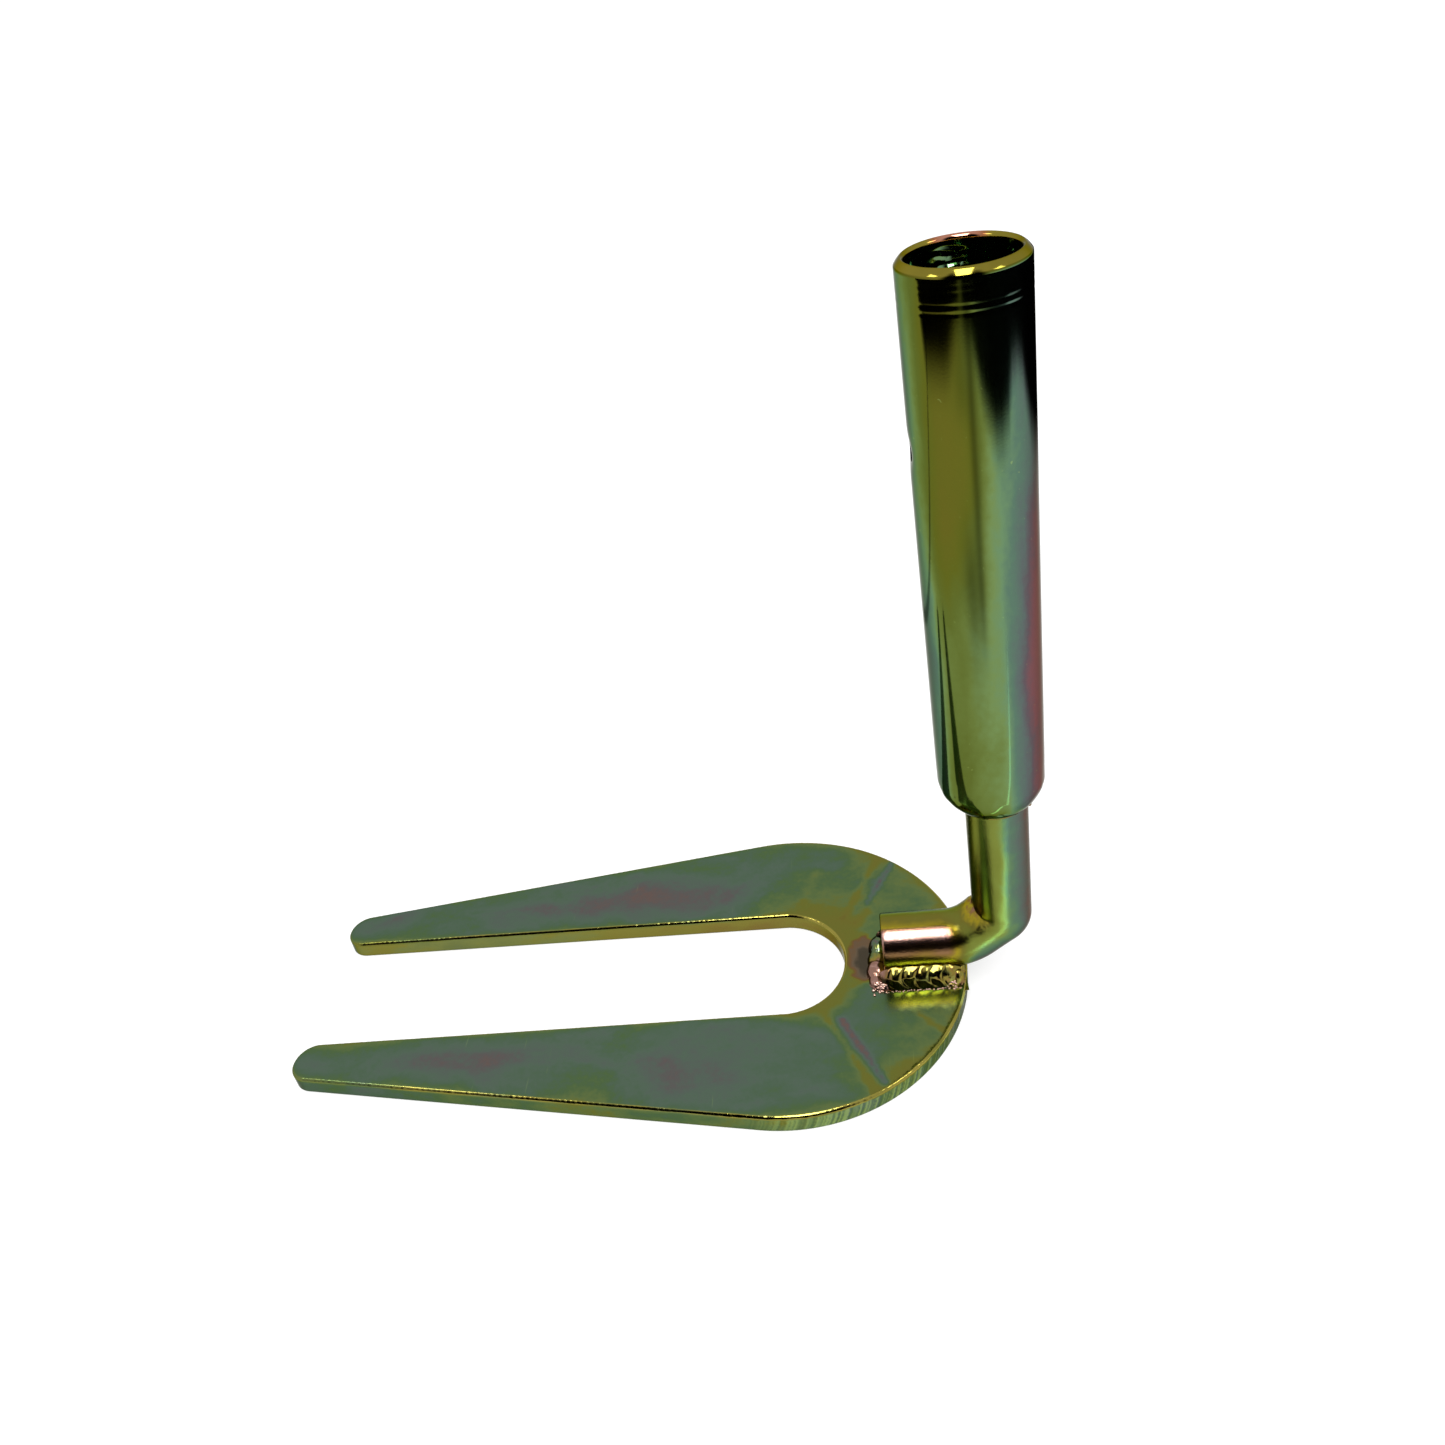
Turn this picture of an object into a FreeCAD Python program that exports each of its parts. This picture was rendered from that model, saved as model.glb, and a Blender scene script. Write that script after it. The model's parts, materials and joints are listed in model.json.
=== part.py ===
"""Two-tined stirrup hoe head: a flat forked blade, a bent neck bar and a leaning handle socket.

Frame: +Z up, the blade's underside on Z = 0, the tines pointing along -X and the handle socket
rising from the heel at +X. The origin is the middle of the head's footprint. Millimetres.
"""
import FreeCAD, Part
import math
import os

import Sketcher

V = FreeCAD.Vector

SIZES = {
    # blade, measured from the centre of its heel arc
    "heel_centre_x": 38.6,
    "heel_radius": 57.75,
    "blade_thick": 6.0,
    "tine_reach": 151.0,
    "tine_offset": 28.0,
    "tip_radius": 6.9,
    "slot_radius": 20.5,
    "slot_depth": 18.6,
    "slot_root_half": 20.4,
    "edge_round": 0.6,
    # neck: round bar laid on the blade, bent up into the socket; bend sizes are inner radii
    "bar_diameter": 18.0,
    "bar_lap": 26.75,
    "bar_side": -2.6,
    "first_bend_angle": 34.0,
    "first_bend_inner": 6.0,
    "second_bend_z": 23.8,
    "second_bend_inner": 0.5,
    "bar_end_round": 0.8,
    # socket: tube with a domed lower end, heights along its own leaning axis
    "socket_overhang": 10.65,
    "socket_lean": 1.95,
    "socket_diameter": 30.0,
    "socket_wall": 2.5,
    "dome_centre": 80.4,
    "dome_height": 12.2,
    "rim_level": 224.3,
    "rim_round": 1.0,
    "bar_offset": 1.2,
    "bar_top_drop": 0.4,
    "screw_drop": 44.6,
    "screw_diameter": 5.0,
    # weld beads
    "bead_reach": 3.6,
    "bead_root": 5.0,
    "bead_height": 8.0,
    "front_bead_reach": 4.2,
    "front_bead_height": 6.5,
    "front_bead_width": 17.0,
    "heel_bead_setback": 1.15,
    "heel_bead_length": 1.6,
    "heel_bead_width": 14.0,
    "heel_bead_height": 3.2,
    "socket_bead_width": 1.6,
}

doc = FreeCAD.newDocument("StirrupHoe")
sheet = doc.addObject("Spreadsheet::Sheet", "Sizes")
for row, (alias, number) in enumerate(SIZES.items(), start=1):
    sheet.set(f"A{row}", alias)
    sheet.set(f"B{row}", str(number))
    sheet.setAlias(f"B{row}", alias)
doc.recompute()

LEAN = "(Sizes.socket_lean * 1 deg)"
SOCKET_X = "(Sizes.heel_radius + Sizes.socket_overhang)"
BAR_FRONT_X = "(Sizes.heel_radius - Sizes.bar_lap)"
BAR_TOP = "(Sizes.dome_centre - Sizes.bar_top_drop)"
BAR_RADIUS = "Sizes.bar_diameter / 2"
BAR_AXIS_Z = "Sizes.blade_thick + Sizes.bar_diameter / 2"
bar_radius = SIZES["bar_diameter"] / 2
bar_axis_z = SIZES["blade_thick"] + bar_radius
bar_front_x = SIZES["heel_radius"] - SIZES["bar_lap"]
START, END, CENTRE = 1, 2, 3
AXES_ORIGIN = (-1, 1)


# ---------------------------------------------------------------- helpers

def bind(thing, **expressions):
    """Bind properties to the sheet; a double underscore in a name stands for a dot."""
    for name, expression in expressions.items():
        thing.setExpression(name.replace("__", "."), expression)


def body_sketch(body, name, role):
    """A sketch on one of the body's own origin planes."""
    sketch = body.newObject("Sketcher::SketchObject", name)
    plane = next(item for item in body.Origin.OriginFeatures if item.Role == role)
    sketch.AttachmentSupport = (plane, [""])
    sketch.MapMode = "FlatFace"
    return sketch


def tie(sketch, kind, *references):
    sketch.addConstraint(Sketcher.Constraint(kind, *references))


def dimension(sketch, name, kind, first, second, expression):
    """A distance from one sketch point to another, along sketch x or y, bound to the sheet."""
    start, end = sketch.getPoint(*first), sketch.getPoint(*second)
    gap = end.x - start.x if kind == "DistanceX" else end.y - start.y
    number = sketch.addConstraint(Sketcher.Constraint(kind, *first, *second, gap))
    sketch.renameConstraint(number, name)
    sketch.setExpression("Constraints." + name, expression)


def radius(sketch, name, curve, expression):
    number = sketch.addConstraint(Sketcher.Constraint("Radius", curve, sketch.Geometry[curve].Radius))
    sketch.renameConstraint(number, name)
    sketch.setExpression("Constraints." + name, expression)


def line(sketch, start, end):
    return sketch.addGeometry(Part.LineSegment(V(*start, 0), V(*end, 0)), False)


def arc(sketch, centre, size, start_angle, end_angle):
    """An arc drawn counter-clockwise between two angles in radians."""
    circle = Part.Circle(V(*centre, 0), V(0, 0, 1), size)
    return sketch.addGeometry(Part.ArcOfCircle(circle, start_angle, end_angle), False)


def pad(body, sketch, length, midplane=False):
    feature = body.newObject("PartDesign::Pad", "Pad")
    feature.Profile = sketch
    feature.Midplane = midplane
    bind(feature, Length=length)
    return feature


def edges_where(feature, test):
    """Names of the feature's edges whose centre of mass and length pass the test."""
    return [f"Edge{n}" for n, edge in enumerate(feature.Shape.Edges, start=1) if test(edge)]


def primitive(kind, name, **expressions):
    item = doc.addObject(kind, name)
    bind(item, **expressions)
    return item


def boolean(kind, name, base, tool):
    item = doc.addObject(kind, name)
    item.Base, item.Tool = base, tool
    return item


def place(item, x, y, angle=None):
    """Set the item in the head's frame: a shift, and for the socket a lean about Y."""
    bind(item, Placement__Base__x=x, Placement__Base__y=y)
    if angle:
        item.Placement = FreeCAD.Placement(V(0, 0, 0), FreeCAD.Rotation(V(0, 1, 0), 1))
        bind(item, Placement__Rotation__Angle=angle)


# ---------------------------------------------------------------- blade

def fork_blade():
    """Flat plate cut to a U: round heel, two tapering tines with round tips, round-ended slot."""
    heel, tip, slot = (SIZES[key] for key in ("heel_radius", "tip_radius", "slot_radius"))
    reach, spread, root = (SIZES[key] for key in ("tine_reach", "tine_offset", "slot_root_half"))
    slot_x = SIZES["slot_depth"] - slot
    # direction, from each centre, of the points where the outer edge leaves heel and tip
    outer = math.atan2(spread, -reach) - math.acos((heel - tip) / math.hypot(reach, spread))
    slot_end = math.asin(root / slot)
    corner = (slot_x + slot * math.cos(slot_end), root)

    body = doc.addObject("PartDesign::Body", "fork_blade")
    outline = body_sketch(body, "Outline", "XY_Plane")
    heel_arc = arc(outline, (0, 0), heel, -outer, outer)
    slot_arc = arc(outline, (slot_x, 0), slot, -slot_end, slot_end)
    tie(outline, "Coincident", heel_arc, CENTRE, *AXES_ORIGIN)
    radius(outline, "heel_radius", heel_arc, "Sizes.heel_radius")
    radius(outline, "slot_radius", slot_arc, "Sizes.slot_radius")
    tie(outline, "PointOnObject", slot_arc, CENTRE, -1)
    dimension(outline, "slot_centre", "DistanceX", AXES_ORIGIN, (slot_arc, CENTRE),
              "Sizes.slot_depth - Sizes.slot_radius")
    for side, heel_end, tip_out, tip_in in ((1, END, START, END), (-1, START, END, START)):
        first, last = sorted((side * outer, side * 1.5 * math.pi))
        tip_arc = arc(outline, (-reach, side * spread), tip, first, last)
        outer_line = line(outline, (heel * math.cos(outer), side * heel * math.sin(outer)),
                          (-reach + tip * math.cos(outer), side * (spread + tip * math.sin(outer))))
        inner_line = line(outline, (-reach, side * (spread - tip)), (corner[0], side * corner[1]))
        tie(outline, "Tangent", heel_arc, heel_end, outer_line, START)
        tie(outline, "Tangent", outer_line, END, tip_arc, tip_out)
        tie(outline, "Tangent", tip_arc, tip_in, inner_line, START)
        tie(outline, "Coincident", inner_line, END, slot_arc, heel_end)
        label = "far" if side > 0 else "near"
        radius(outline, label + "_tip_radius", tip_arc, "Sizes.tip_radius")
        dimension(outline, label + "_reach", "DistanceX", (tip_arc, CENTRE), AXES_ORIGIN,
                  "Sizes.tine_reach")
        low, high = (AXES_ORIGIN, (tip_arc, CENTRE))[::side]
        dimension(outline, label + "_spread", "DistanceY", low, high, "Sizes.tine_offset")
        low, high = (AXES_ORIGIN, (slot_arc, heel_end))[::side]
        dimension(outline, label + "_root", "DistanceY", low, high, "Sizes.slot_root_half")
    plate = pad(body, outline, "Sizes.blade_thick")
    doc.recompute()

    def on_a_face(edge):
        return edge.BoundBox.ZLength < 0.01

    rounding = body.newObject("PartDesign::Fillet", "EdgeRound")
    rounding.Base = (plate, edges_where(plate, on_a_face))
    bind(rounding, Radius="Sizes.edge_round")
    body.Tip = rounding
    place(body, "Sizes.heel_centre_x", "0")
    return body


# ---------------------------------------------------------------- neck

def neck_bar():
    """Round bar: flat along the heel, a soft bend up, a tight bend, then up into the socket."""
    lean = math.radians(SIZES["socket_lean"])
    rise = math.radians(SIZES["first_bend_angle"])
    soft, tight = (bar_radius + SIZES[key] for key in ("first_bend_inner", "second_bend_inner"))
    upright = math.pi / 2 + lean
    socket_x, offset = SIZES["heel_radius"] + SIZES["socket_overhang"], SIZES["bar_offset"]
    bar_top, elbow_z = SIZES["dome_centre"] - SIZES["bar_top_drop"], SIZES["second_bend_z"]
    elbow_x = socket_x + offset / math.cos(lean) - elbow_z * math.tan(lean)
    corner_x = elbow_x - (elbow_z - bar_axis_z) / math.tan(rise)
    soft_run, tight_run = soft * math.tan(rise / 2), tight * math.tan((upright - rise) / 2)
    flat_end = (corner_x - soft_run, bar_axis_z)
    slope_start = (corner_x + soft_run * math.cos(rise), bar_axis_z + soft_run * math.sin(rise))
    slope_end = (elbow_x - tight_run * math.cos(rise), elbow_z - tight_run * math.sin(rise))
    riser_start = (elbow_x - tight_run * math.sin(lean), elbow_z + tight_run * math.cos(lean))
    tight_centre = (slope_end[0] - tight * math.sin(rise), slope_end[1] + tight * math.cos(rise))
    top = (socket_x + offset * math.cos(lean) - bar_top * math.sin(lean),
           bar_top * math.cos(lean) + offset * math.sin(lean))

    body = doc.addObject("PartDesign::Body", "neck_bar")
    spine = body_sketch(body, "Spine", "XZ_Plane")
    flat = line(spine, (bar_front_x, bar_axis_z), flat_end)
    soft_bend = arc(spine, (flat_end[0], bar_axis_z + soft), soft, -math.pi / 2, -math.pi / 2 + rise)
    slope = line(spine, slope_start, slope_end)
    tight_bend = arc(spine, tight_centre, tight, rise - math.pi / 2, lean)
    riser = line(spine, riser_start, top)
    elbow = spine.addGeometry(Part.Point(V(elbow_x, elbow_z, 0)), True)
    tie(spine, "Horizontal", flat)
    for first, second in ((flat, soft_bend), (soft_bend, slope), (slope, tight_bend), (tight_bend, riser)):
        tie(spine, "Tangent", first, END, second, START)
    tie(spine, "PointOnObject", elbow, START, slope)
    tie(spine, "PointOnObject", elbow, START, riser)
    radius(spine, "soft_radius", soft_bend, BAR_RADIUS + " + Sizes.first_bend_inner")
    radius(spine, "tight_radius", tight_bend, BAR_RADIUS + " + Sizes.second_bend_inner")
    angle = spine.addConstraint(Sketcher.Constraint("Angle", -1, 1, slope, START, rise))
    spine.renameConstraint(angle, "bend_angle")
    bind(spine, Constraints__bend_angle="Sizes.first_bend_angle * 1 deg")
    dimension(spine, "front", "DistanceX", AXES_ORIGIN, (flat, START), BAR_FRONT_X)
    dimension(spine, "axis_height", "DistanceY", AXES_ORIGIN, (flat, START), BAR_AXIS_Z)
    dimension(spine, "elbow_x", "DistanceX", AXES_ORIGIN, (elbow, START),
              f"{SOCKET_X} + Sizes.bar_offset / cos({LEAN}) - Sizes.second_bend_z * tan({LEAN})")
    dimension(spine, "elbow_z", "DistanceY", AXES_ORIGIN, (elbow, START), "Sizes.second_bend_z")
    dimension(spine, "top_x", "DistanceX", AXES_ORIGIN, (riser, END),
              f"{SOCKET_X} + Sizes.bar_offset * cos({LEAN}) - {BAR_TOP} * sin({LEAN})")
    dimension(spine, "top_z", "DistanceY", AXES_ORIGIN, (riser, END),
              f"{BAR_TOP} * cos({LEAN}) + Sizes.bar_offset * sin({LEAN})")

    section = body_sketch(body, "Section", "YZ_Plane")
    bind(section, AttachmentOffset__Base__z=BAR_FRONT_X)
    ring = section.addGeometry(Part.Circle(V(0, bar_axis_z, 0), V(0, 0, 1), bar_radius), False)
    tie(section, "PointOnObject", ring, CENTRE, -2)
    radius(section, "bar_radius", ring, BAR_RADIUS)
    dimension(section, "axis_height", "DistanceY", AXES_ORIGIN, (ring, CENTRE), BAR_AXIS_Z)

    pipe = body.newObject("PartDesign::AdditivePipe", "Bar")
    pipe.Profile = section
    pipe.Spine = spine
    doc.recompute()

    def on_front_end(edge):
        return edge.BoundBox.XMax < bar_front_x + 0.01

    rounding = body.newObject("PartDesign::Fillet", "EndRound")
    rounding.Base = (pipe, edges_where(pipe, on_front_end))
    bind(rounding, Radius="Sizes.bar_end_round")
    body.Tip = rounding
    place(body, "Sizes.heel_centre_x", "Sizes.bar_side")
    return body


# ---------------------------------------------------------------- socket

def capped_cylinder(name, size, dome):
    """A cylinder from the dome's centre to the rim, closed below by half an ellipsoid."""
    length = "Sizes.rim_level - Sizes.dome_centre"
    tube = primitive("Part::Cylinder", name + "Cylinder", Radius=size, Height=length,
                     Placement__Base__z="Sizes.dome_centre")
    cap = primitive("Part::Ellipsoid", name + "Dome", Radius1=dome, Radius2=size, Radius3=size,
                    Placement__Base__z="Sizes.dome_centre")
    cap.Angle1, cap.Angle2 = -90, 0
    return boolean("Part::Fuse", name, tube, cap), cap


def socket_parts():
    """The handle socket, and the weld ring ground flush where the bar enters its dome."""
    outer, outer_dome = capped_cylinder("SocketOuter", "Sizes.socket_diameter / 2", "Sizes.dome_height")
    inner, inner_dome = capped_cylinder("SocketInner", "Sizes.socket_diameter / 2 - Sizes.socket_wall",
                                        "Sizes.dome_height - Sizes.socket_wall")
    shell = boolean("Part::Cut", "SocketShell", outer, inner)
    weld_zone = primitive("Part::Cylinder", "WeldZone", Radius=BAR_RADIUS + " + Sizes.socket_bead_width",
                          Height="Sizes.dome_centre", Placement__Base__x="Sizes.bar_offset")
    screw = primitive("Part::Cylinder", "ScrewHole", Radius="Sizes.screw_diameter / 2",
                      Height="Sizes.socket_diameter", Placement__Base__z="Sizes.rim_level - Sizes.screw_drop")
    screw.Placement = FreeCAD.Placement(V(0, 0, 0), FreeCAD.Rotation(V(0, 1, 0), -90))
    open_end = boolean("Part::Cut", "SocketOpenEnd", shell, weld_zone)
    drilled = boolean("Part::Cut", "SocketDrilled", open_end, screw)
    doc.recompute()

    def on_rim(edge):
        return edge.BoundBox.ZMin > SIZES["rim_level"] - 0.01

    rim_edges = [int(name[4:]) for name in edges_where(drilled, on_rim)]
    socket = doc.addObject("Part::Fillet", "socket_tube")
    socket.Base = drilled
    socket.Edges = [(number, SIZES["rim_round"], SIZES["rim_round"]) for number in rim_edges]

    dome_shell = boolean("Part::Cut", "DomeShell", outer_dome, inner_dome)
    bar_hole = primitive("Part::Cylinder", "BarHole", Radius=BAR_RADIUS, Height="Sizes.dome_centre",
                         Placement__Base__x="Sizes.bar_offset")
    disc = boolean("Part::Common", "WeldDisc", dome_shell, weld_zone)
    ring = boolean("Part::Cut", "socket_base_weld", disc, bar_hole)
    for item in (socket, ring):
        place(item, "Sizes.heel_centre_x + " + SOCKET_X, "Sizes.bar_side", "-Sizes.socket_lean * 1 deg")
    return socket, ring


# ---------------------------------------------------------------- welds on the blade

def side_weld(name, side):
    """Fillet bead along one side of the bar, up its flank, from its front end to the heel bead."""
    thick, root = SIZES["blade_thick"], SIZES["bead_root"]
    toe, top = bar_radius + SIZES["bead_reach"], thick + SIZES["bead_height"]
    root_angle, top_angle = math.acos(root / bar_radius), math.asin((bar_axis_z - top) / bar_radius)
    flank_y = bar_radius * math.cos(top_angle)
    under_z = bar_axis_z - bar_radius * math.sin(root_angle)

    body = doc.addObject("PartDesign::Body", name)
    section = body_sketch(body, "Section", "YZ_Plane")
    bind(section, AttachmentOffset__Base__z=BAR_FRONT_X)
    base = line(section, (side * toe, thick), (side * root, thick))
    gap = line(section, (side * root, thick), (side * root, under_z))
    if side > 0:
        contact = arc(section, (0, bar_axis_z), bar_radius, -root_angle, -top_angle)
        low_end, high_end = START, END
    else:
        contact = arc(section, (0, bar_axis_z), bar_radius, math.pi + top_angle, math.pi + root_angle)
        low_end, high_end = END, START
    face = line(section, (side * flank_y, top), (side * toe, thick))
    tie(section, "Horizontal", base)
    tie(section, "Vertical", gap)
    tie(section, "Coincident", base, END, gap, START)
    tie(section, "Coincident", gap, END, contact, low_end)
    tie(section, "Coincident", contact, high_end, face, START)
    tie(section, "Coincident", face, END, base, START)
    tie(section, "PointOnObject", contact, CENTRE, -2)
    radius(section, "bar_radius", contact, BAR_RADIUS)
    dimension(section, "axis_height", "DistanceY", AXES_ORIGIN, (contact, CENTRE), BAR_AXIS_Z)
    dimension(section, "base_height", "DistanceY", AXES_ORIGIN, (base, START), "Sizes.blade_thick")
    dimension(section, "top_height", "DistanceY", (base, START), (face, START), "Sizes.bead_height")
    dimension(section, "toe", "DistanceX", *(AXES_ORIGIN, (base, START))[::side],
              BAR_RADIUS + " + Sizes.bead_reach")
    dimension(section, "root", "DistanceX", *(AXES_ORIGIN, (base, END))[::side], "Sizes.bead_root")
    body.Tip = pad(body, section, "Sizes.bar_lap - Sizes.heel_bead_setback - Sizes.heel_bead_length")
    place(body, "Sizes.heel_centre_x", "Sizes.bar_side")
    return body


def front_weld():
    """Fillet bead across the bar's front end."""
    front, thick = bar_front_x, SIZES["blade_thick"]
    toe, height = SIZES["front_bead_reach"], SIZES["front_bead_height"]

    body = doc.addObject("PartDesign::Body", "front_end_weld")
    section = body_sketch(body, "Section", "XZ_Plane")
    base = line(section, (front - toe, thick), (front, thick))
    back = line(section, (front, thick), (front, thick + height))
    face = line(section, (front, thick + height), (front - toe, thick))
    tie(section, "Horizontal", base)
    tie(section, "Vertical", back)
    for first, second in ((base, back), (back, face), (face, base)):
        tie(section, "Coincident", first, END, second, START)
    dimension(section, "front", "DistanceX", AXES_ORIGIN, (base, END), BAR_FRONT_X)
    dimension(section, "base_height", "DistanceY", AXES_ORIGIN, (base, END), "Sizes.blade_thick")
    dimension(section, "toe", "DistanceX", (base, START), (base, END), "Sizes.front_bead_reach")
    dimension(section, "height", "DistanceY", (back, START), (back, END), "Sizes.front_bead_height")
    body.Tip = pad(body, section, "Sizes.front_bead_width", midplane=True)
    place(body, "Sizes.heel_centre_x", "Sizes.bar_side")
    return body


def heel_weld(bar):
    """Bead at the heel's edge that fills the wedge under the bar where it starts to rise."""
    block = primitive("Part::Box", "HeelBeadBlock", Length="Sizes.heel_bead_length",
                      Width="Sizes.heel_bead_width", Height="Sizes.heel_bead_height",
                      Placement__Base__x="Sizes.heel_centre_x + Sizes.heel_radius"
                                         " - Sizes.heel_bead_setback - Sizes.heel_bead_length",
                      Placement__Base__y="Sizes.bar_side - Sizes.heel_bead_width / 2",
                      Placement__Base__z="Sizes.blade_thick")
    return boolean("Part::Cut", "heel_edge_weld", block, bar)


# ---------------------------------------------------------------- build, check, write

blade = fork_blade()
neck = neck_bar()
socket_tube, socket_weld = socket_parts()
parts = [blade, neck, socket_tube, socket_weld, side_weld("near_side_weld", -1),
         side_weld("far_side_weld", 1), front_weld(), heel_weld(neck)]
doc.recompute()

for item in doc.Objects:
    if "Invalid" in item.State or "Error" in item.State:
        raise SystemExit(f"{item.Name} failed: {item.State}")
os.makedirs("parts", exist_ok=True)
for part in parts:
    if part.Shape.isNull() or not part.Shape.isValid() or len(part.Shape.Solids) != 1:
        raise SystemExit(f"{part.Label} isn't one valid solid")
    part.Shape.exportStep(f"parts/{part.Label}.step")
    box = part.Shape.BoundBox
    print(f"{part.Label}: {part.Shape.Volume:.0f} mm3, x {box.XMin:.2f}..{box.XMax:.2f}, "
          f"y {box.YMin:.2f}..{box.YMax:.2f}, z {box.ZMin:.2f}..{box.ZMax:.2f}")
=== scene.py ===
import json
import random
from math import acos, atan2, cos, degrees, exp, floor, hypot, pi, radians, sin, sqrt, tan

import bmesh
import bpy
from mathutils import Matrix, Vector, kdtree, noise
from mathutils.geometry import delaunay_2d_cdt


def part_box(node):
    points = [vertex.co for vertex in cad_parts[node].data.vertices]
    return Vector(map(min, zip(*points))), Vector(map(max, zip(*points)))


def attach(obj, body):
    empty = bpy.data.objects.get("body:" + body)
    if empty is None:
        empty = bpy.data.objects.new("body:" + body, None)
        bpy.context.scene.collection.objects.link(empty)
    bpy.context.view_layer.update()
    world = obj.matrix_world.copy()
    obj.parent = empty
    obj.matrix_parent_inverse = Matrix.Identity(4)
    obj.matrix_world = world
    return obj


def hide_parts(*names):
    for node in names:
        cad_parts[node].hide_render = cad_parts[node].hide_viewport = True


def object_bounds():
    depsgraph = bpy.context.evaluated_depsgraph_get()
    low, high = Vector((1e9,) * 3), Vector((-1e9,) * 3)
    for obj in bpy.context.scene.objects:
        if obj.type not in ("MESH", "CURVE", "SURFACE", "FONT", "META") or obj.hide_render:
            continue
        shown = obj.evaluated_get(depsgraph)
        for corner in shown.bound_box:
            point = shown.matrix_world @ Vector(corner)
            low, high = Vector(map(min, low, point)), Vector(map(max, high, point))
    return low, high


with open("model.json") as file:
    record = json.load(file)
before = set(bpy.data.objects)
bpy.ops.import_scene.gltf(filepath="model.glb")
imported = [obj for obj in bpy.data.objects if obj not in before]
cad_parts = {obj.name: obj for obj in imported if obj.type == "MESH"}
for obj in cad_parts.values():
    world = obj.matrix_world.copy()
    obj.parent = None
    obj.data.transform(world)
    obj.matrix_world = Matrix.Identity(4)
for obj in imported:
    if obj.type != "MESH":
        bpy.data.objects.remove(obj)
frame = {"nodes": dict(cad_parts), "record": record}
cad_low, cad_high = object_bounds()
scene = bpy.context.scene

# Lengths are in millimetres until a mesh is made; this turns them to metres.
MM = 0.001


def linear(hex_colour):
    """An sRGB hex colour as a linear RGBA tuple."""
    parts = [int(hex_colour[i : i + 2], 16) / 255 for i in (1, 3, 5)]
    low = [p / 12.92 if p <= 0.04045 else ((p + 0.055) / 1.055) ** 2.4 for p in parts]
    return (*low, 1.0)


def smooth(low, high, value):
    """0 below low, 1 above high, and a soft step between."""
    t = min(1.0, max(0.0, (value - low) / (high - low)))
    return t * t * (3 - 2 * t)


def between(table, at):
    """Reads a table of (place, value) rows at a place, in straight lines between the rows."""
    if at <= table[0][0]:
        return table[0][1]
    for (a, low), (b, high) in zip(table, table[1:]):
        if at <= b:
            return low + (high - low) * (at - a) / (b - a)
    return table[-1][1]


def bell(gap, half):
    """1 at no gap, falling softly to about a third at half."""
    return exp(-((gap / half) ** 2))


def bearing_gap(a, b):
    """Degrees between two bearings."""
    return abs((a - b + 180) % 360 - 180)


def ripple(x, y, z, seed=0.0):
    """Smooth noise from about -1 to 1."""
    return noise.noise(Vector((x + seed, y - seed * 0.7, z + seed * 1.3)))


# ---- places read from the frame

mounts = {m["name"]: m for m in frame["record"]["mounts"]}
blade_low, blade_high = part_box("fork_blade")
bar_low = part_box("neck_bar")[0]

PLATE_TOP = blade_high.z / MM
# The plate's sides are drawn for this thickness and scaled to the real one.
DRAWN_THICK = 6.0
HEEL_RADIUS = blade_high.y / MM
HEEL_X = blade_high.x / MM - HEEL_RADIUS
TIP_RADIUS = 6.9
TIP_X = blade_low.x / MM + TIP_RADIUS
TIP_Y = 28.0
SLOT_X = HEEL_X - 1.9
SLOT_RADIUS = 20.5
SLOT_ROOT = Vector((HEEL_X + 0.1, 20.4))

BAR_RADIUS = 9.0
BAR_Y = bar_low.y / MM + BAR_RADIUS
BAR_Z = PLATE_TOP + BAR_RADIUS
BAR_FRONT = bar_low.x / MM

SOCKET_AXIS = Vector(mounts["handle_bore"]["axis"]).normalized()
RIM = Vector(mounts["handle_bore"]["pos_m"]) / MM
SOCKET_FOOT = RIM - SOCKET_AXIS * (RIM.z / SOCKET_AXIS.z)
SOCKET_SIDE = Vector((SOCKET_AXIS.z, 0, -SOCKET_AXIS.x))
ACROSS = Vector((0, 1, 0))
BORE_RADIUS = mounts["handle_bore"]["dims"]["r_mm"]
SOCKET_RADIUS = BORE_RADIUS + mounts["handle_screw_hole"]["dims"]["length_mm"]
RIM_ROUND = 1.0
RIM_LEVEL = (RIM - SOCKET_FOOT).length + RIM_ROUND
HOLE = Vector(mounts["handle_screw_hole"]["pos_m"]) / MM
HOLE_RADIUS = mounts["handle_screw_hole"]["dims"]["r_mm"]
HOLE_LEVEL = (HOLE - SOCKET_FOOT).dot(SOCKET_AXIS)
DOME_LEVEL = 80.4
DOME_HEIGHT = 12.2
BAR_OFFSET = 1.2


def turns(count):
    """Evenly spaced turns round a circle, in radians."""
    return [2 * pi * i / count for i in range(count)]


def socket_out(turn):
    """The direction out from the socket's axis at a turn round it."""
    return SOCKET_SIDE * cos(turn) + ACROSS * sin(turn)


def socket_place(point):
    """The level, radius and turn in degrees of a point, seen from the socket's axis."""
    gap = point - SOCKET_FOOT
    level = gap.dot(SOCKET_AXIS)
    side = gap.dot(SOCKET_SIDE)
    return level, hypot(side, gap.y), degrees(atan2(gap.y, side))


# ---- mesh helpers


def middle_of(points):
    """The mean of some points."""
    return sum(points, Vector()) / len(points)


def bridge(bm, rings, closed=False):
    """Joins rings of bmesh vertices, each to the next, with quads."""
    pairs = list(zip(rings, rings[1:]))
    if closed:
        pairs.append((rings[-1], rings[0]))
    for low, high in pairs:
        for quad in zip(low, low[1:] + low[:1], high[1:] + high[:1], high):
            bm.faces.new(quad)


def grid_faces(columns, rows):
    """Quads over a grid of points that are listed column by column."""
    corners = [rows * i + j for i in range(columns - 1) for j in range(rows - 1)]
    return [(k, k + 1, k + rows + 1, k + rows) for k in corners]


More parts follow.
